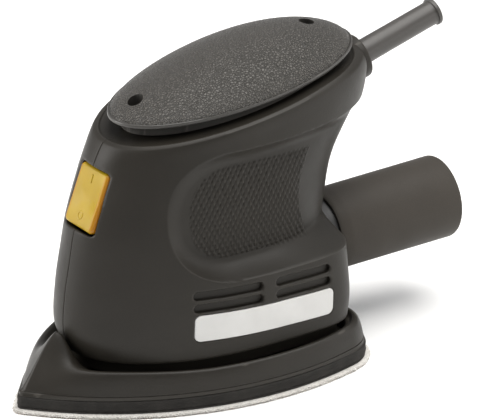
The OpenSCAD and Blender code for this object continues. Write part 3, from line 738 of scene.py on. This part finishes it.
def build_body():
    st = stations()
    rows = rows_between([(20.35, 25.5, 0.7), (25.5, 38.6, 0.55), (38.6, 51.5, 0.36), (51.5, 56, 0.5), (56, 99.5, 0.42), (99.5, 112, 0.6), (112, 116.3, 0.35)])
    skin = body_surface(st, rows)
    rings = []
    base = full_ring(half_section(20, st))

    def low(off, z):
        r = inset_ring(base, off)
        r[:, 2] = z
        return r
    for off, z in ((4.6, 13.0), (4.2, 13.4), (4.2, 18.9), (4.0, 19.3), (1.2, 19.42), (0.62, 19.5), (0.3, 19.72), (0.12, 20.0)):
        rings.append(low(off, z))
    for g in skin:
        rings.append(full_ring(g))
    top = full_ring(half_section(117, st))
    last = rings[-1]
    for off, dz in ((0.55, -0.22), (0.8, -0.06), (1.15, 0.0), (1.5, -0.06), (1.8, -0.3), (2.0, -0.55), (2.6, -0.7)):
        r = inset_ring(top, off)
        r[:, 2] = zat(117, top[:, 0]) + dz
        rings.append(r)
    outer = loft("body_outer", rings)
    # inner skin, coarser
    stc = np.linspace(0, 1, 150)
    wall = 2.4
    inner = []
    b20 = full_ring(half_section(20, stc))
    for off, z in ((4.2 + wall - 0.4, 12.0), (4.2 + wall - 0.4, 19.0)):
        r = inset_ring(b20, off)
        r[:, 2] = z
        inner.append(r)
    for h in np.concatenate([np.arange(24, 113.1, 1.6), [113.2]]):
        inner.append(inset_ring(full_ring(half_section(h, stc)), wall))
    r = inset_ring(full_ring(half_section(114.4, stc)), wall + 1)
    inner.append(r)
    inner = loft("body_inner", inner)
    # bosses and seats, kept a little inside the outer skin
    core = []
    for off, h in [(5.2, 13.2)] + [(0.9, h) for h in np.arange(21, 115.6, 2.4)] + [(1.6, 115.9)]:
        rr = full_ring(half_section(max(h, 20), stc))
        if h < 20:
            rr[:, 2] = h
        core.append(inset_ring(rr, off))
    core = loft("body_core", core)
    boss = [rod("boss%d" % k, (x, -40, z), (0, 1, 0), [(4.6, 0), (4.6, 80)], 40) for k, (x, z, _) in enumerate(HSCR)]
    boss.append(rod("seat", (MX, 0, 99.5), (0, 0, 1), [(13.6, 0), (13.6, 30)], 72))
    for k, x in enumerate(CSCR):
        boss.append(rod("capboss%d" % k, (x, 0, 101 if x > 0 else 109), (0, 0, 1), [(4.2, 0), (4.2, 30)], 40))
    boss.append(box("frontrib", (36.8, -27, 33), (39.2, 27, 35.9)))
    for x in (-42, -2):
        for s in (-1, 1):
            boss.append(box("rib%d%d" % (x, s), (x - 1.5, min(s * 34.5, s * 46), 33), (x + 1.5, max(s * 34.5, s * 46), 35.95)))
    bosses = union(boss)
    boolean(bosses, core, "INTERSECT")
    boolean(outer, inner, "DIFFERENCE")
    boolean(outer, bosses, "UNION")
    collar = rod("collar", GP, GD, [(9.5, -6), (9.5, 0.4), (9.38, 0.85), (9.1, 1.2), (8.7, 1.42), (8.2, 1.5), (6.4, 1.5), (6.0, 1.3)], 96)
    # the part of the collar inside the wall is trimmed by a copy of the inner volume
    cut = loft("collar_trim", [inset_ring(full_ring(half_section(h, stc)), wall + 0.3) for h in (92, 96, 100, 104, 108, 112)])
    boolean(collar, cut, "DIFFERENCE")
    boolean(outer, collar, "UNION")
    cutters = []
    for k, (x0, x1, zc) in enumerate(VENTS):
        for s in (-1, 1):
            a, b = x1 + VH / 2, x0 - VH / 2
            t = np.linspace(0, math.pi, 22)
            px = np.concatenate([b + VH / 2 * np.sin(t), a - VH / 2 * np.sin(t)])
            pz = np.concatenate([VH / 2 * np.cos(t), -VH / 2 * np.cos(t)])
            cz = np.concatenate([np.full(22, zc + 0.028 * b), np.full(22, zc + 0.028 * a)])
            ring = lambda y: np.stack([px, np.full(44, y), pz + cz], 1)
            cutters.append(loft("vent", [ring(s * 29), ring(s * 46)]))
    cutters.append(rod("porthole", (-85, 0, 40.4), (1, 0, 0), [(15.9, 0), (15.9, 15.6), (15.1, 17.0), (15.1, 35)], 96))
    win = []
    t = np.linspace(0, 2 * math.pi, 72, endpoint=False)
    cy, cu = np.clip(np.cos(t) * 1e3, -1, 1) * 7.55, np.clip(np.sin(t) * 1e3, -1, 1) * (13.45 - 2.2)
    for n in (-14, 6):
        win.append(RK + np.outer(np.full(72, float(n)), RN) + np.outer(cu + 2.2 * np.sin(t) - 0.35, RU) + np.outer(cy + 2.2 * np.cos(t), [0, 1, 0]))
    cutters.append(loft("window", win))
    cutters.append(rod("bearing_seat", (MX, 0, 98.9), (0, 0, 1), [(11.25, 0), (11.25, 9.7)], 72))
    cutters.append(rod("shaft_hole", (MX, 0, 98), (0, 0, 1), [(4.5, 0), (4.5, 13.5)], 48))
    for x in CSCR:
        cutters.append(rod("cap_screw_hole", (x, 0, 95), (0, 0, 1), [(1.75, 0), (1.75, 40)], 32))
    for x, z, d in HSCR:
        cutters.append(rod("screw_hole", (x, 14, z), (0, -1, 0), [(2.3, 0), (2.3, 50)], 32))
        cutters.append(rod("screw_seat", (x, -(d - 9.5), z), (0, -1, 0), [(4.0, 0), (4.0, 40)], 48))
    cutters.append(rod("guard_hole", GP - GD * 14, GD, [(5.45, 0), (5.45, 40)], 64))
    cutters.append(rod("guard_pocket", GP - GD * 16, GD, [(7.6, 0), (7.6, 12.6)], 64))
    for c in cutters:
        boolean(outer, c, "DIFFERENCE")
    for sgn in (1, -1):
        boolean(outer, vent_baffle(sgn), "UNION")
    boolean(outer, label_solid("label_pocket", -0.7, 3.0, 0.2), "DIFFERENCE")
    return outer


def body_y(x, z):
    """Y of the left flank, below the grip, where the skin is upright enough for this."""
    x, z = np.asarray(x, float), np.asarray(z, float)
    hs = np.linspace(24, 52, 57)
    tab = np.array([level(h) for h in hs])
    cols = [np.interp(z, hs, tab[:, k]) for k in range(7)]
    xf, xr, b, xm, nf, nr = cols[1:]
    front = x >= xm
    t = np.where(front, (x - xm) / (xf - xm), (xm - x) / (xm - xr))
    n = np.where(front, nf, nr)
    return b * np.maximum(1 - np.clip(t, 0, 1) ** n, 0) ** (1 / n)


def grid_plate(name, front, back):
    """A closed plate between two grids (i, j, 3) of the same shape."""
    ni, nj = front.shape[:2]
    k = np.arange(ni * nj).reshape(ni, nj)
    q = np.stack([k[:-1, :-1], k[1:, :-1], k[1:, 1:], k[:-1, 1:]], 2).reshape(-1, 4)
    rim = np.concatenate([k[:-1, 0], k[-1, :-1], k[:0:-1, -1], k[0, :0:-1]])
    nxt = np.roll(rim, -1)
    o = ni * nj
    side = np.stack([nxt, rim, rim + o, nxt + o], 1)
    return solid(name, np.concatenate([front.reshape(-1, 3), back.reshape(-1, 3)]), [np.concatenate([q, q[:, ::-1] + o, side])])


def vent_baffle(sgn):
    """Inner wall behind the vents that keeps chips off the windings; air passes round its ends."""
    X, T = np.meshgrid(np.linspace(-54.5, 16.5, 48), np.linspace(38.9, 50.3, 12), indexing="ij")
    Z = T + 0.028 * X
    Y = body_y(X, Z)
    at = lambda off: np.stack([X, sgn * (Y + off), Z], 2)
    return grid_plate("vent_baffle", at(-2.1), at(-3.3))


def label_solid(name, y0, y1, grow, soft=0.0):
    """A plate that follows the left flank between y0 and y1 from it, as a grid with rounded corners."""
    w, h, r = LAB_W / 2 + grow, LAB_H / 2 + grow, LAB_R + grow
    a = np.linspace(0, math.pi / 2, 15)
    end = (w - r) + r * np.sin(a)
    half = np.concatenate([np.linspace(0, w - r, 34)[:-1], end])
    ps = np.concatenate([-half[:0:-1], half])
    over = np.maximum(np.abs(ps) - (w - r), 0)
    qm = (h - r) + np.sqrt(np.maximum(r * r - over * over, 0))
    half_t = np.array([0, 0.2, 0.4, 0.6, 0.78, 0.9, 0.94, 0.965, 0.98, 0.99, 1.0])
    ts = np.concatenate([-half_t[:0:-1], half_t])
    P, Q = np.meshgrid(ps, ts, indexing="ij")
    Q = Q * qm[:, None]
    c, sn = math.cos(LAB_A), math.sin(LAB_A)
    X, Z = LAB_C[0] + P * c - Q * sn, LAB_C[1] + P * sn + Q * c
    Y = body_y(X, Z)
    top = np.full(X.shape, float(y1))
    if soft:
        top -= round_over(-label_distance(X, Z, grow), soft)
    return grid_plate(name, np.stack([X, Y + top, Z], 2), np.stack([X, Y + y0, Z], 2))


body = build_body()
right_space = box("right_space", (-150, -70, 0), (120, -0.085, 160))
left_space = box("left_space", (-150, 0.085, 0), (120, 70, 160))
housing_r = copy_of(body, "housing_right_shell")
boolean(housing_r, right_space, "INTERSECT")
body.name = "housing_left_shell"
boolean(body, left_space, "INTERSECT")
piece(smooth(body, 38), "housing", CHARCOAL, ["housing_left"])
piece(smooth(housing_r, 38), "housing", CHARCOAL, ["housing_right"])

label = label_solid("label_plate_bare", -0.6, 0.06, 0.0, soft=0.22)
piece(smooth(label, 40), "housing", LABEL_M, ["label_plate"])

# ------------------------------------------------------------------ top cap
CA, CB = 56.5, 28.6


def rimz(x):
    return 121.6 + 0.093 * (XP - x)


def dome(r, x):
    """Rise of the cap above its rim at the fraction r of its half axes."""
    return np.maximum(1 - np.asarray(r, float) ** 2, 0) ** 0.71 * (14 + 2.5 * (XP - x) / CA)


def cap_ring(r, dz=None, n=288, top=None):
    a = np.linspace(0, 2 * math.pi, n, endpoint=False)
    x, y = XP + CA * r * np.cos(a), CB * r * np.sin(a)
    if top is not None:
        z = rimz(x) + dome(top, x)
    else:
        z = rimz(x)
    if dz is not None:
        z = z + dz
    return np.stack([x, y, z], 1)


def build_cap():
    rings = []
    a = np.linspace(0, 2 * math.pi, 288, endpoint=False)

    def deck(r, d):
        x, y = XP + CA * r * np.cos(a), CB * r * np.sin(a)
        return np.stack([x, y, zat(117, x) + d], 1)
    # inside, from the crown down to the foot of the neck
    for r in (0.02, 0.2, 0.4, 0.56, 0.66, 0.74, 0.8, 0.855):
        rings.append(cap_ring(r, -2.6, top=r))
    rings.append(deck(0.86, 0.06))
    # outside of the neck, the overhang and the rim
    rings.append(deck(0.9, 0.06))
    rings.append(cap_ring(0.9, -2.2))
    rings.append(cap_ring(0.905, -1.75))
    for r, dz in ((0.92, -1.62), (0.965, -1.6), (0.985, -1.58), (0.995, -1.45), (1.0, -1.2), (1.0, -0.35), (0.998, -0.12), (0.9925, 0.05), (0.9865, 0.06), (0.983, -0.05), (0.9805, 0.05)):
        rings.append(cap_ring(r, dz))
    base = 0.9805
    for r in np.concatenate([0.9805 - np.array([0.0012, 0.003, 0.006, 0.010, 0.015, 0.022, 0.03, 0.04]), np.linspace(0.93, 0.05, 46)]):
        rings.append(cap_ring(r, 0, top=r / base))
    rings.append(cap_ring(0.012, 0, top=0.012))
    return loft("top_cap_shell", rings)


cap = build_cap()
# screw posts and ribs under the dome
under = []
for k, x in enumerate(CSCR):
    under.append(rod("post%d" % k, (x, 0, 100), (0, 0, 1), [(4.6, 0), (4.6, 50)], 40))
for k in np.arange(-3.5, 3.6, 1):
    x = XP + 12 * k + 4
    under.append(box("caprib", (x - 0.8, -20.6, 110), (x + 0.8, 20.6, 150)))
under = union(under)
a_ = np.linspace(0, 2 * math.pi, 144, endpoint=False)


def und(r, off, foot=False):
    x, y = XP + CA * r * np.cos(a_), CB * r * np.sin(a_)
    z = zat(117, x) + 0.06 if foot else rimz(x) + dome(r, x) - off
    return np.stack([x, y, z], 1)


space = loft("cap_space", [und(0.88, 0, True), und(0.88, 1.2), und(0.8, 1.2), und(0.66, 1.2), und(0.4, 1.2), und(0.05, 1.2)])
boolean(under, space, "INTERSECT")
boolean(cap, under, "UNION")
for x in CSCR:
    zs = float(zat(117, x)) + 3
    boolean(cap, rod("hole", (x, 0, 100), (0, 0, 1), [(1.9, 0), (1.9, 50)], 32), "DIFFERENCE")
    boolean(cap, rod("well", (x, 0, zs), (0, 0, 1), [(3.15, 0), (3.2, 40)], 56), "DIFFERENCE")
smooth(cap, 40)
piece(cap, "housing", CAP_M, ["top_cap"])
# the rim, the overhang and everything under the dome are smooth
cap.data.materials.append(CAP_EDGE)
me = cap.data
cen = np.empty(len(me.polygons) * 3)
me.polygons.foreach_get("center", cen)
cen = cen.reshape(-1, 3) / MM
nor = np.empty(len(me.polygons) * 3)
me.polygons.foreach_get("normal", nor)
nor = nor.reshape(-1, 3)
rr = np.hypot((cen[:, 0] - XP) / CA, cen[:, 1] / CB)
grained = (rr < 0.981) & (nor[:, 2] > 0.02) & (cen[:, 2] > rimz(cen[:, 0]) - 0.12 + dome(np.minimum(rr / 0.9805, 1), cen[:, 0]) * 0.9)
me.polygons.foreach_set("material_index", np.where(grained, 0, 1).astype(np.int32))
me.update()

# ------------------------------------------------------------------ pad
RN_, RC_, XA = 4.0, 20.0, -26.0
HALF_L, HALF_W = 75.0, 50.0
RS = ((HALF_L - XA - RN_) ** 2 + HALF_W**2 - RN_**2) / (2 * (HALF_W - RN_))
YA = HALF_W - RS


def outline(e, kn=12, ks=150, kc=26, kr=30):
    r = max(RN_ - e, 0.6)
    cx = XA + math.sqrt((RS - e - r) ** 2 - YA**2)
    fn0 = math.atan2(-YA, cx - XA)
    kx = -HALF_L + RC_
    ky = YA + math.sqrt((RS - RC_) ** 2 - (kx - XA) ** 2)
    fr = math.atan2(ky - YA, kx - XA)
    f = np.linspace(0, fn0, kn, endpoint=False)
    a = np.stack([cx + r * np.cos(f), r * np.sin(f)], 1)
    f = np.linspace(fn0, fr, ks, endpoint=False)
    b = np.stack([XA + (RS - e) * np.cos(f), YA + (RS - e) * np.sin(f)], 1)
    f = np.linspace(fr, math.pi, kc, endpoint=False)
    c = np.stack([kx + (RC_ - e) * np.cos(f), ky + (RC_ - e) * np.sin(f)], 1)
    d = np.stack([np.full(kr + 1, -HALF_L + e), ky * (1 - np.arange(kr + 1) / kr)], 1)
    h = np.concatenate([a, b, c, d])
    return np.concatenate([h, h[-2:0:-1] * np.array([1, -1])])


def plan_ring(e, z):
    o = outline(e)
    return np.concatenate([o, np.full((len(o), 1), float(z))], 1)


def pring(e, xt, zf, za, zn):
    """Ring of the platen: inset, nose X, height along the flanks, their rise to the front, height at the nose."""
    o = outline(e)
    # the rear end is rounder than the flanks
    rear = ss((-40 - o[:, 0]) / 25)[:, None]
    o = mix(o, outline(e + 1.5 * math.exp(-((e - 4.5) / 2.5) ** 2)), rear)
    x0, y = o[:, 0], np.abs(o[:, 1])
    wx = np.where(x0 > 20, np.exp(-(y / 12) ** 1.5), 0)
    wz = np.where(x0 > 20, np.exp(-(y / 7.5) ** 1.9), 0)
    return np.stack([x0 - (x0[0] - xt) * wx, o[:, 1], mix(zf + za * ss((x0 - 5) / 40), zn, wz)], 1)


EX = MX + 0.8
HOLES = [(50, 0), (12, 27), (12, -27), (-16, 34), (-16, -34), (-40, 31), (-40, -31), (-64, 0)]
POSTS = [(26, 14), (26, -14), (-52, 22), (-52, -22)]


def spline_rings(rs, per):
    """Catmull-Rom through rings."""
    rs = [np.asarray(r) for r in rs]
    ext = [2 * rs[0] - rs[1]] + rs + [2 * rs[-1] - rs[-2]]
    out = []
    for k in range(len(rs) - 1):
        p0, p1, p2, p3 = ext[k:k + 4]
        for i in range(per):
            t = i / per
            out.append(0.5 * ((2 * p1) + (p2 - p0) * t + (2 * p0 - 5 * p1 + 4 * p2 - p3) * t**2 + (3 * p1 - p0 - 3 * p2 + p3) * t**3))
    return out + [rs[-1]]


def build_platen():
    prof = [(1.8, 71.4, 9.5, 0, 9.5), (2.3, 68.8, 13.2, 0.3, 13.4), (3.0, 65.1, 16.1, 0.8, 19.2), (3.9, 61.4, 17.2, 1.2, 24.5), (5.0, 58.2, 17.3, 1.3, 28.2),
            (6.0, 56, 16.6, 1.3, 30), (7.0, 54.6, 15.8, 1, 30.2), (8.0, 53.7, 15.4, 0.6, 28.9), (8.9, 52.5, 15.2, 0.3, 25), (9.5, 53.2, 14.6, 0, 17), (9.8, 55.6, 10, 0, 10)]
    up = spline_rings([pring(*p) for p in prof[:-1]], 6) + [pring(*prof[-1])]
    foot = [plan_ring(2.2, 7.02), plan_ring(1.75, 7.1), pring(1.6, 72.9, 7.35, 0, 7.35), pring(1.6, 72.8, 8.55, 0, 8.55), pring(1.64, 72.6, 8.72, 0, 8.72),
            pring(1.92, 72.2, 8.82, 0, 8.82), pring(1.92, 72.0, 9.02, 0, 9.02), pring(1.76, 71.9, 9.16, 0, 9.16)]
    rings = [plan_ring(6, 7.0)] + foot + up
    ob = loft("platen_skirt", rings)
    for k, (x, y) in enumerate(HOLES):
        boolean(ob, rod("dh", (x, y, 5), (0, 0, 1), [(4, 0), (4, 15)], 40), "DIFFERENCE")
    boolean(ob, rod("hub", (EX, 0, 5), (0, 0, 1), [(9.2, 0), (9.2, 8)], 56), "DIFFERENCE")
    for x, y in POSTS:
        boolean(ob, rod("ps", (x, y, 6), (0, 0, 1), [(3.9, 0), (3.9, 2.7)], 32), "DIFFERENCE")
        boolean(ob, rod("pt", (x, y, 6), (0, 0, 1), [(1.7, 0), (1.7, 6)], 24), "DIFFERENCE")
    for a in (45, 135, 225, 315):
        c, s = math.cos(math.radians(a)), math.sin(math.radians(a))
        boolean(ob, rod("hs", (EX + 18.5 * c, 18.5 * s, 7.9), (0, 0, 1), [(1.7, 0), (1.7, 8)], 24), "DIFFERENCE")
    return ob


platen = build_platen()
piece(smooth(platen, 40), "pad", PLATEN_M, ["platen"])

rng = np.random.default_rng(7)


def wobble(n, amp, k0, k1, seed):
    """A closed, smooth random wave of n samples with wave numbers k0..k1."""
    r = np.random.default_rng(seed)
    t = np.linspace(0, 2 * math.pi, n, endpoint=False)
    out = np.zeros(n)
    for k in range(k0, k1, max(1, (k1 - k0) // 60)):
        out += r.normal() * np.cos(k * t + r.uniform(0, 6.28)) / math.sqrt(k)
    return out / np.abs(out).max() * amp


def layer(name, levels, seed=0, amp=0.0, holes=True):
    """A pad layer through (inset, z) levels, with a ragged edge of size amp."""
    n = len(outline(0))
    rings = []
    for i, (e, z) in enumerate(levels):
        r = plan_ring(e, z)
        if amp:
            r = inset_ring(r, wobble(n, amp, 20, 260, seed + i))
            r[:, 2] += 0 if i in (0, len(levels) - 1) else wobble(n, amp * 0.5, 15, 240, seed + 40 + i)
        rings.append(r)
    ob = loft(name, rings)
    if holes:
        for x, y in HOLES:
            boolean(ob, rod("dh", (x, y, levels[0][1] - 2), (0, 0, 1), [(4, 0), (4, 12)], 40), "DIFFERENCE")
    return ob


cushion = layer("pad_cushion_foam", [(3.0, 2.52), (1.55, 2.54), (1.28, 2.75), (1.16, 3.3), (1.24, 4.2), (1.42, 4.8), (1.26, 5.4), (1.18, 6.2), (1.3, 6.7), (1.6, 6.95), (3.0, 6.98)], 3, 0.05)
piece(smooth(cushion, 50), "pad", FOAM, ["pad_cushion"])
hook = layer("hook_layer_fabric", [(3.0, 1.62), (1.5, 1.64), (1.35, 1.95), (1.4, 2.4), (1.6, 2.49), (3.0, 2.5)], 11, 0.12)
piece(smooth(hook, 50), "pad", HOOK_M, ["hook_layer"])


def fringed_sheet(name, levels, seed):
    """The sheet: short fibres of its loop backing stand out all round its edge."""
    r = np.random.default_rng(seed)
    rings = []
    for e, z, amp in levels:
        o = outline(e, 40, 820, 150, 130)
        g = np.concatenate([o, np.full((len(o), 1), float(z))], 1)
        if amp:
            n = len(g)
            out = r.random(n) ** 3.0 * amp + 0.35 * amp * np.maximum(wobble(n, 1.0, 30, 900, seed + int(z * 100)), 0)
            g = inset_ring(g, -np.convolve(np.concatenate([out[-1:], out, out[:1]]), [0.2, 0.6, 0.2], "valid"))
            g[:, 2] += (r.random(n) - 0.5) * 0.16
        rings.append(g)
    ob = loft(name, rings)
    for x, y in HOLES:
        boolean(ob, rod("dh", (x, y, -2), (0, 0, 1), [(4, 0), (4, 12)], 40), "DIFFERENCE")
    return ob


sheet = fringed_sheet("sanding_sheet_laid", [(1.2, 0.0, 0), (0.35, 0.02, 0), (0.1, 0.2, 0.25), (0.05, 0.45, 0.9), (0.0, 0.75, 1.25), (0.0, 1.05, 1.3), (0.1, 1.35, 1.0), (0.6, 1.52, 0.4), (1.6, 1.58, 0)], 23)
piece(smooth(sheet, 60), "pad", SHEET_M, ["sanding_sheet"])
o0 = outline(0.0)
area = 0.5 * abs(np.sum(o0[:, 0] * np.roll(o0[:, 1], -1) - np.roll(o0[:, 0], -1) * o0[:, 1])) - 8 * math.pi * 16

# ------------------------------------------------------------------ rocker


def build_rocker():
    n = 160
    t = np.linspace(0, 2 * math.pi, n, endpoint=False)

    def rect(w, l, r):
        """Rounded rectangle, points spread evenly round it."""
        k = 4000
        tt = np.linspace(0, 2 * math.pi, k, endpoint=False)
        cy = np.where(np.cos(tt) >= 0, 1, -1) * (w - r) + r * np.cos(tt)
        cu = np.where(np.sin(tt) >= 0, 1, -1) * (l - r) + r * np.sin(tt)
        d = np.concatenate([[0], np.cumsum(np.hypot(np.diff(np.append(cy, cy[0])), np.diff(np.append(cu, cu[0]))))])
        q = np.linspace(0, d[-1], n, endpoint=False)
        return np.interp(q, d, np.append(cy, cy[0])), np.interp(q, d, np.append(cu, cu[0]))

    def face(y, u):
        """Height of the pressed face: a thumb dish in the middle and a crest at each end."""
        return -0.95 * np.exp(-((u / 5.6) ** 2 + (y / 7.5) ** 4)) * (1 - 0.35 * (y / 9) ** 2) - 0.10 * (u / 11.5) ** 2 - 0.12 * (y / 8) ** 2 + 0.05

    rings = []

    def at(e, r, nn, use_face=0.0):
        y, u = rect(9.5 - e, 12.75 - e, max(r - e, 0.4))
        h = nn + use_face * face(y, u)
        return RK + np.outer(h, RN) + np.outer(u, RU) + np.outer(y, [0, 1, 0])
    rings.append(at(2.2, 2.6, -6.0))
    rings.append(at(0.35, 2.2, -6.0))
    rings.append(at(0.2, 2.2, -4.2))
    rings.append(at(0.0, 2.2, -2.1))
    for k in np.linspace(0, 1, 10)[1:]:
        a = k * math.pi / 2
        rings.append(at(1.55 * (1 - math.cos(a)), 2.2, -2.1 + 2.05 * math.sin(a), use_face=k))
    base_y, base_u = rect(9.5 - 1.55, 12.75 - 1.55, 0.65)
    for f in np.linspace(0.94, 0.03, 26):
        # close onto a short line along the face, so that the rings keep their shape
        cu = np.clip(base_u, -3.2, 3.2)
        y, u = base_y * f, cu * f + (base_u - cu) * f
        h = -0.05 + face(y, u)
        rings.append(RK + np.outer(h, RN) + np.outer(u, RU) + np.outer(y, [0, 1, 0]))
    ob = loft("switch_rocker_cap", rings)
    boolean(ob, rk_box("hollow", (-7, -6.9), (-7.9, 7.9), (-10.95, 10.95), top=-2.4), "DIFFERENCE")
    # arms with the pivot stubs
    for y0, y1 in ((-9.5, -7.5), (7.5, 9.5)):
        boolean(ob, rk_box("arm", (-10.4, 0), (y0, y1), (-3, 3), top=-2.2), "UNION")
    boolean(ob, rk_box("tail", (-10.4, 0), (-3, 3), (-1.5, 1.5), top=-2.0), "UNION")
    pv = RK - 8.5 * RN
    boolean(ob, rod("stub1", pv + np.array([0, 7.6, 0]), (0, 1, 0), [(1.5, 0), (1.5, 3.3), (1.3, 3.5)], 32), "UNION")
    boolean(ob, rod("stub2", pv - np.array([0, 7.6, 0]), (0, -1, 0), [(1.5, 0), (1.5, 3.3), (1.3, 3.5)], 32), "UNION")

    # marks: a bar near the top, a ring near the bottom
    def on_face(y, u, up):
        return RK + (-0.05 + face(y, u) + up)[:, None] * RN + np.asarray(u)[:, None] * RU + np.asarray(y)[:, None] * np.array([0, 1.0, 0])
    k = 40
    tt = np.linspace(0, 2 * math.pi, k, endpoint=False)
    bar = []
    for s, up in ((1.0, -0.5), (1.0, 0.14), (0.9, 0.26), (0.6, 0.32), (0.1, 0.33)):
        by = 0.55 * s * np.cos(tt)
        bu = 8.0 + np.where(np.sin(tt) >= 0, 1, -1) * 1.35 + 0.55 * s * np.sin(tt)
        bar.append(on_face(by, bu, up))
    boolean(ob, loft("bar", bar), "UNION")
    tor = []
    for q in np.linspace(0, 2 * math.pi, 14, endpoint=False):
        rad = 1.35 + 0.36 * math.cos(q)
        up = 0.0 + 0.2 * math.sin(q)
        tor.append(on_face(rad * np.cos(tt), -7.6 + rad * 1.15 * np.sin(tt), up))
    boolean(ob, loft("ring", tor, wrap=True), "UNION")
    return ob


def rk_box(name, _n, y, u, top):
    """A box in the rocker's own axes, from depth _n[0] up to top."""
    c = []
    for n in (_n[0], top):
        c.append(np.array([RK + n * RN + uu * RU + yy * np.array([0, 1.0, 0]) for yy, uu in ((y[0], u[0]), (y[1], u[0]), (y[1], u[1]), (y[0], u[1]))]))
    return loft(name, c)


rocker = build_rocker()
piece(smooth(rocker, 45), "rocker", YELLOW, ["switch_rocker"])

# ------------------------------------------------------------------ cord guard and dust tube
gl = 40.0
guard_prof = [(2.9, -8), (7.0, -8), (7.2, -7.8), (7.2, -4.8), (7.0, -4.6), (5.15, -4.6), (5.15, 5.5), (5.12, 8), (5.08, 14), (5.05, 24), (5.02, 36.6), (5.03, 37.7), (5.12, 38.0), (5.5, 38.08),
              (5.7, 38.2), (5.75, 38.45), (5.75, 39.3), (5.66, 39.6), (5.4, 39.85), (4.9, 40.0), (3.5, 40.0), (3.1, 39.8), (2.9, 39.4)]
guard = lathe("cord_guard_sleeve", GP, GD, guard_prof, 96)
piece(smooth(guard, 40), "housing", RUBBER, ["cord_guard"])

tl = 58.7
tube_prof = [(14.8, 0.3), (15.0, 0), (15.8, 0), (16.05, 0.25), (16.35, 1.8), (16.72, 3.8), (16.9, 4.9), (17.0, 5.8), (17.0, tl - 1.1), (16.93, tl - 0.6), (16.7, tl - 0.15), (16.3, tl),
             (15.6, tl), (15.3, tl - 0.15), (15.2, tl - 0.5), (15.2, tl - 30), (14.8, tl - 30)]
tube = lathe("dust_tube_sleeve", (-73.7, 0, 40.4), (-1, 0, 0), tube_prof, 160)
piece(smooth(tube, 40), "tube", TUBE_M, ["dust_tube"])

# ------------------------------------------------------------------ stage, light, camera
fl = bpy.data.meshes.new("floor")
s = 3.0
fl.from_pydata([(-s, -s, 0), (s, -s, 0), (s, s, 0), (-s, s, 0)], [], [(0, 1, 2, 3)])
floor = bpy.data.objects.new("studio_floor", fl)
SC.collection.objects.link(floor)
floor.location.z = -0.0001
fm = Mat("pale_floor")
fm.set(color=fm.ramp(fm.noise(3, 2), [(0.3, srgb(247, 247, 246)), (0.7, srgb(250, 250, 249))]), rough=0.75)
fl.materials.append(fm.m)

world = bpy.data.worlds.new("studio")
SC.world = world
world.use_nodes = True
bg = world.node_tree.nodes["Background"]
bg.inputs["Color"].default_value = (0.93, 0.95, 1.0, 1)
bg.inputs["Strength"].default_value = 0.40


def area(name, at, size, power, color=(1, 1, 1), target=(-0.02, 0, 0.06)):
    L = bpy.data.lights.new(name, "AREA")
    L.shape = "RECTANGLE"
    L.size, L.size_y = size
    L.energy = power
    L.color = color
    o = bpy.data.objects.new(name, L)
    SC.collection.objects.link(o)
    o.location = at
    o.rotation_euler = (Vector(target) - Vector(at)).to_track_quat("-Z", "Y").to_euler()
    return o


area("top_soft", (-0.22, 0.08, 1.1), (1.1, 1.1), 18.0, (1, 0.985, 0.96))
area("rear_right", (-0.85, 0.45, 0.45), (0.5, 0.8), 2.3, (1, 0.98, 0.95))
area("near_right", (-0.55, 0.95, 0.28), (0.25, 0.35), 1.0, (1, 0.98, 0.95))
area("front_left", (0.80, -0.55, 0.45), (0.45, 0.8), 8.2, (1, 0.98, 0.96))

AL, EL = math.radians(55.1), math.radians(25.1)
f = Vector((math.cos(AL) * math.cos(EL), math.sin(AL) * math.cos(EL), math.sin(EL)))
r = Vector((-math.sin(AL), math.cos(AL), 0))
u = f.cross(r)
D = 8.0
aim = Vector((-0.029, 0, 0.060)) + r * 0.0044 + u * 0.00149
cam_data = bpy.data.cameras.new("photo_camera")
cam = bpy.data.objects.new("photo_camera", cam_data)
SC.collection.objects.link(cam)
cam.location = aim + f * D
cam.rotation_euler = (-f).to_track_quat("-Z", "Y").to_euler()
cam_data.sensor_width = 36
cam_data.lens = 2.49 * D * 1000 * 36 / 480
cam_data.clip_start, cam_data.clip_end = 0.5, 60
SC.camera = cam
SC.view_settings.view_transform = "Standard"
SC.view_settings.look = "None"
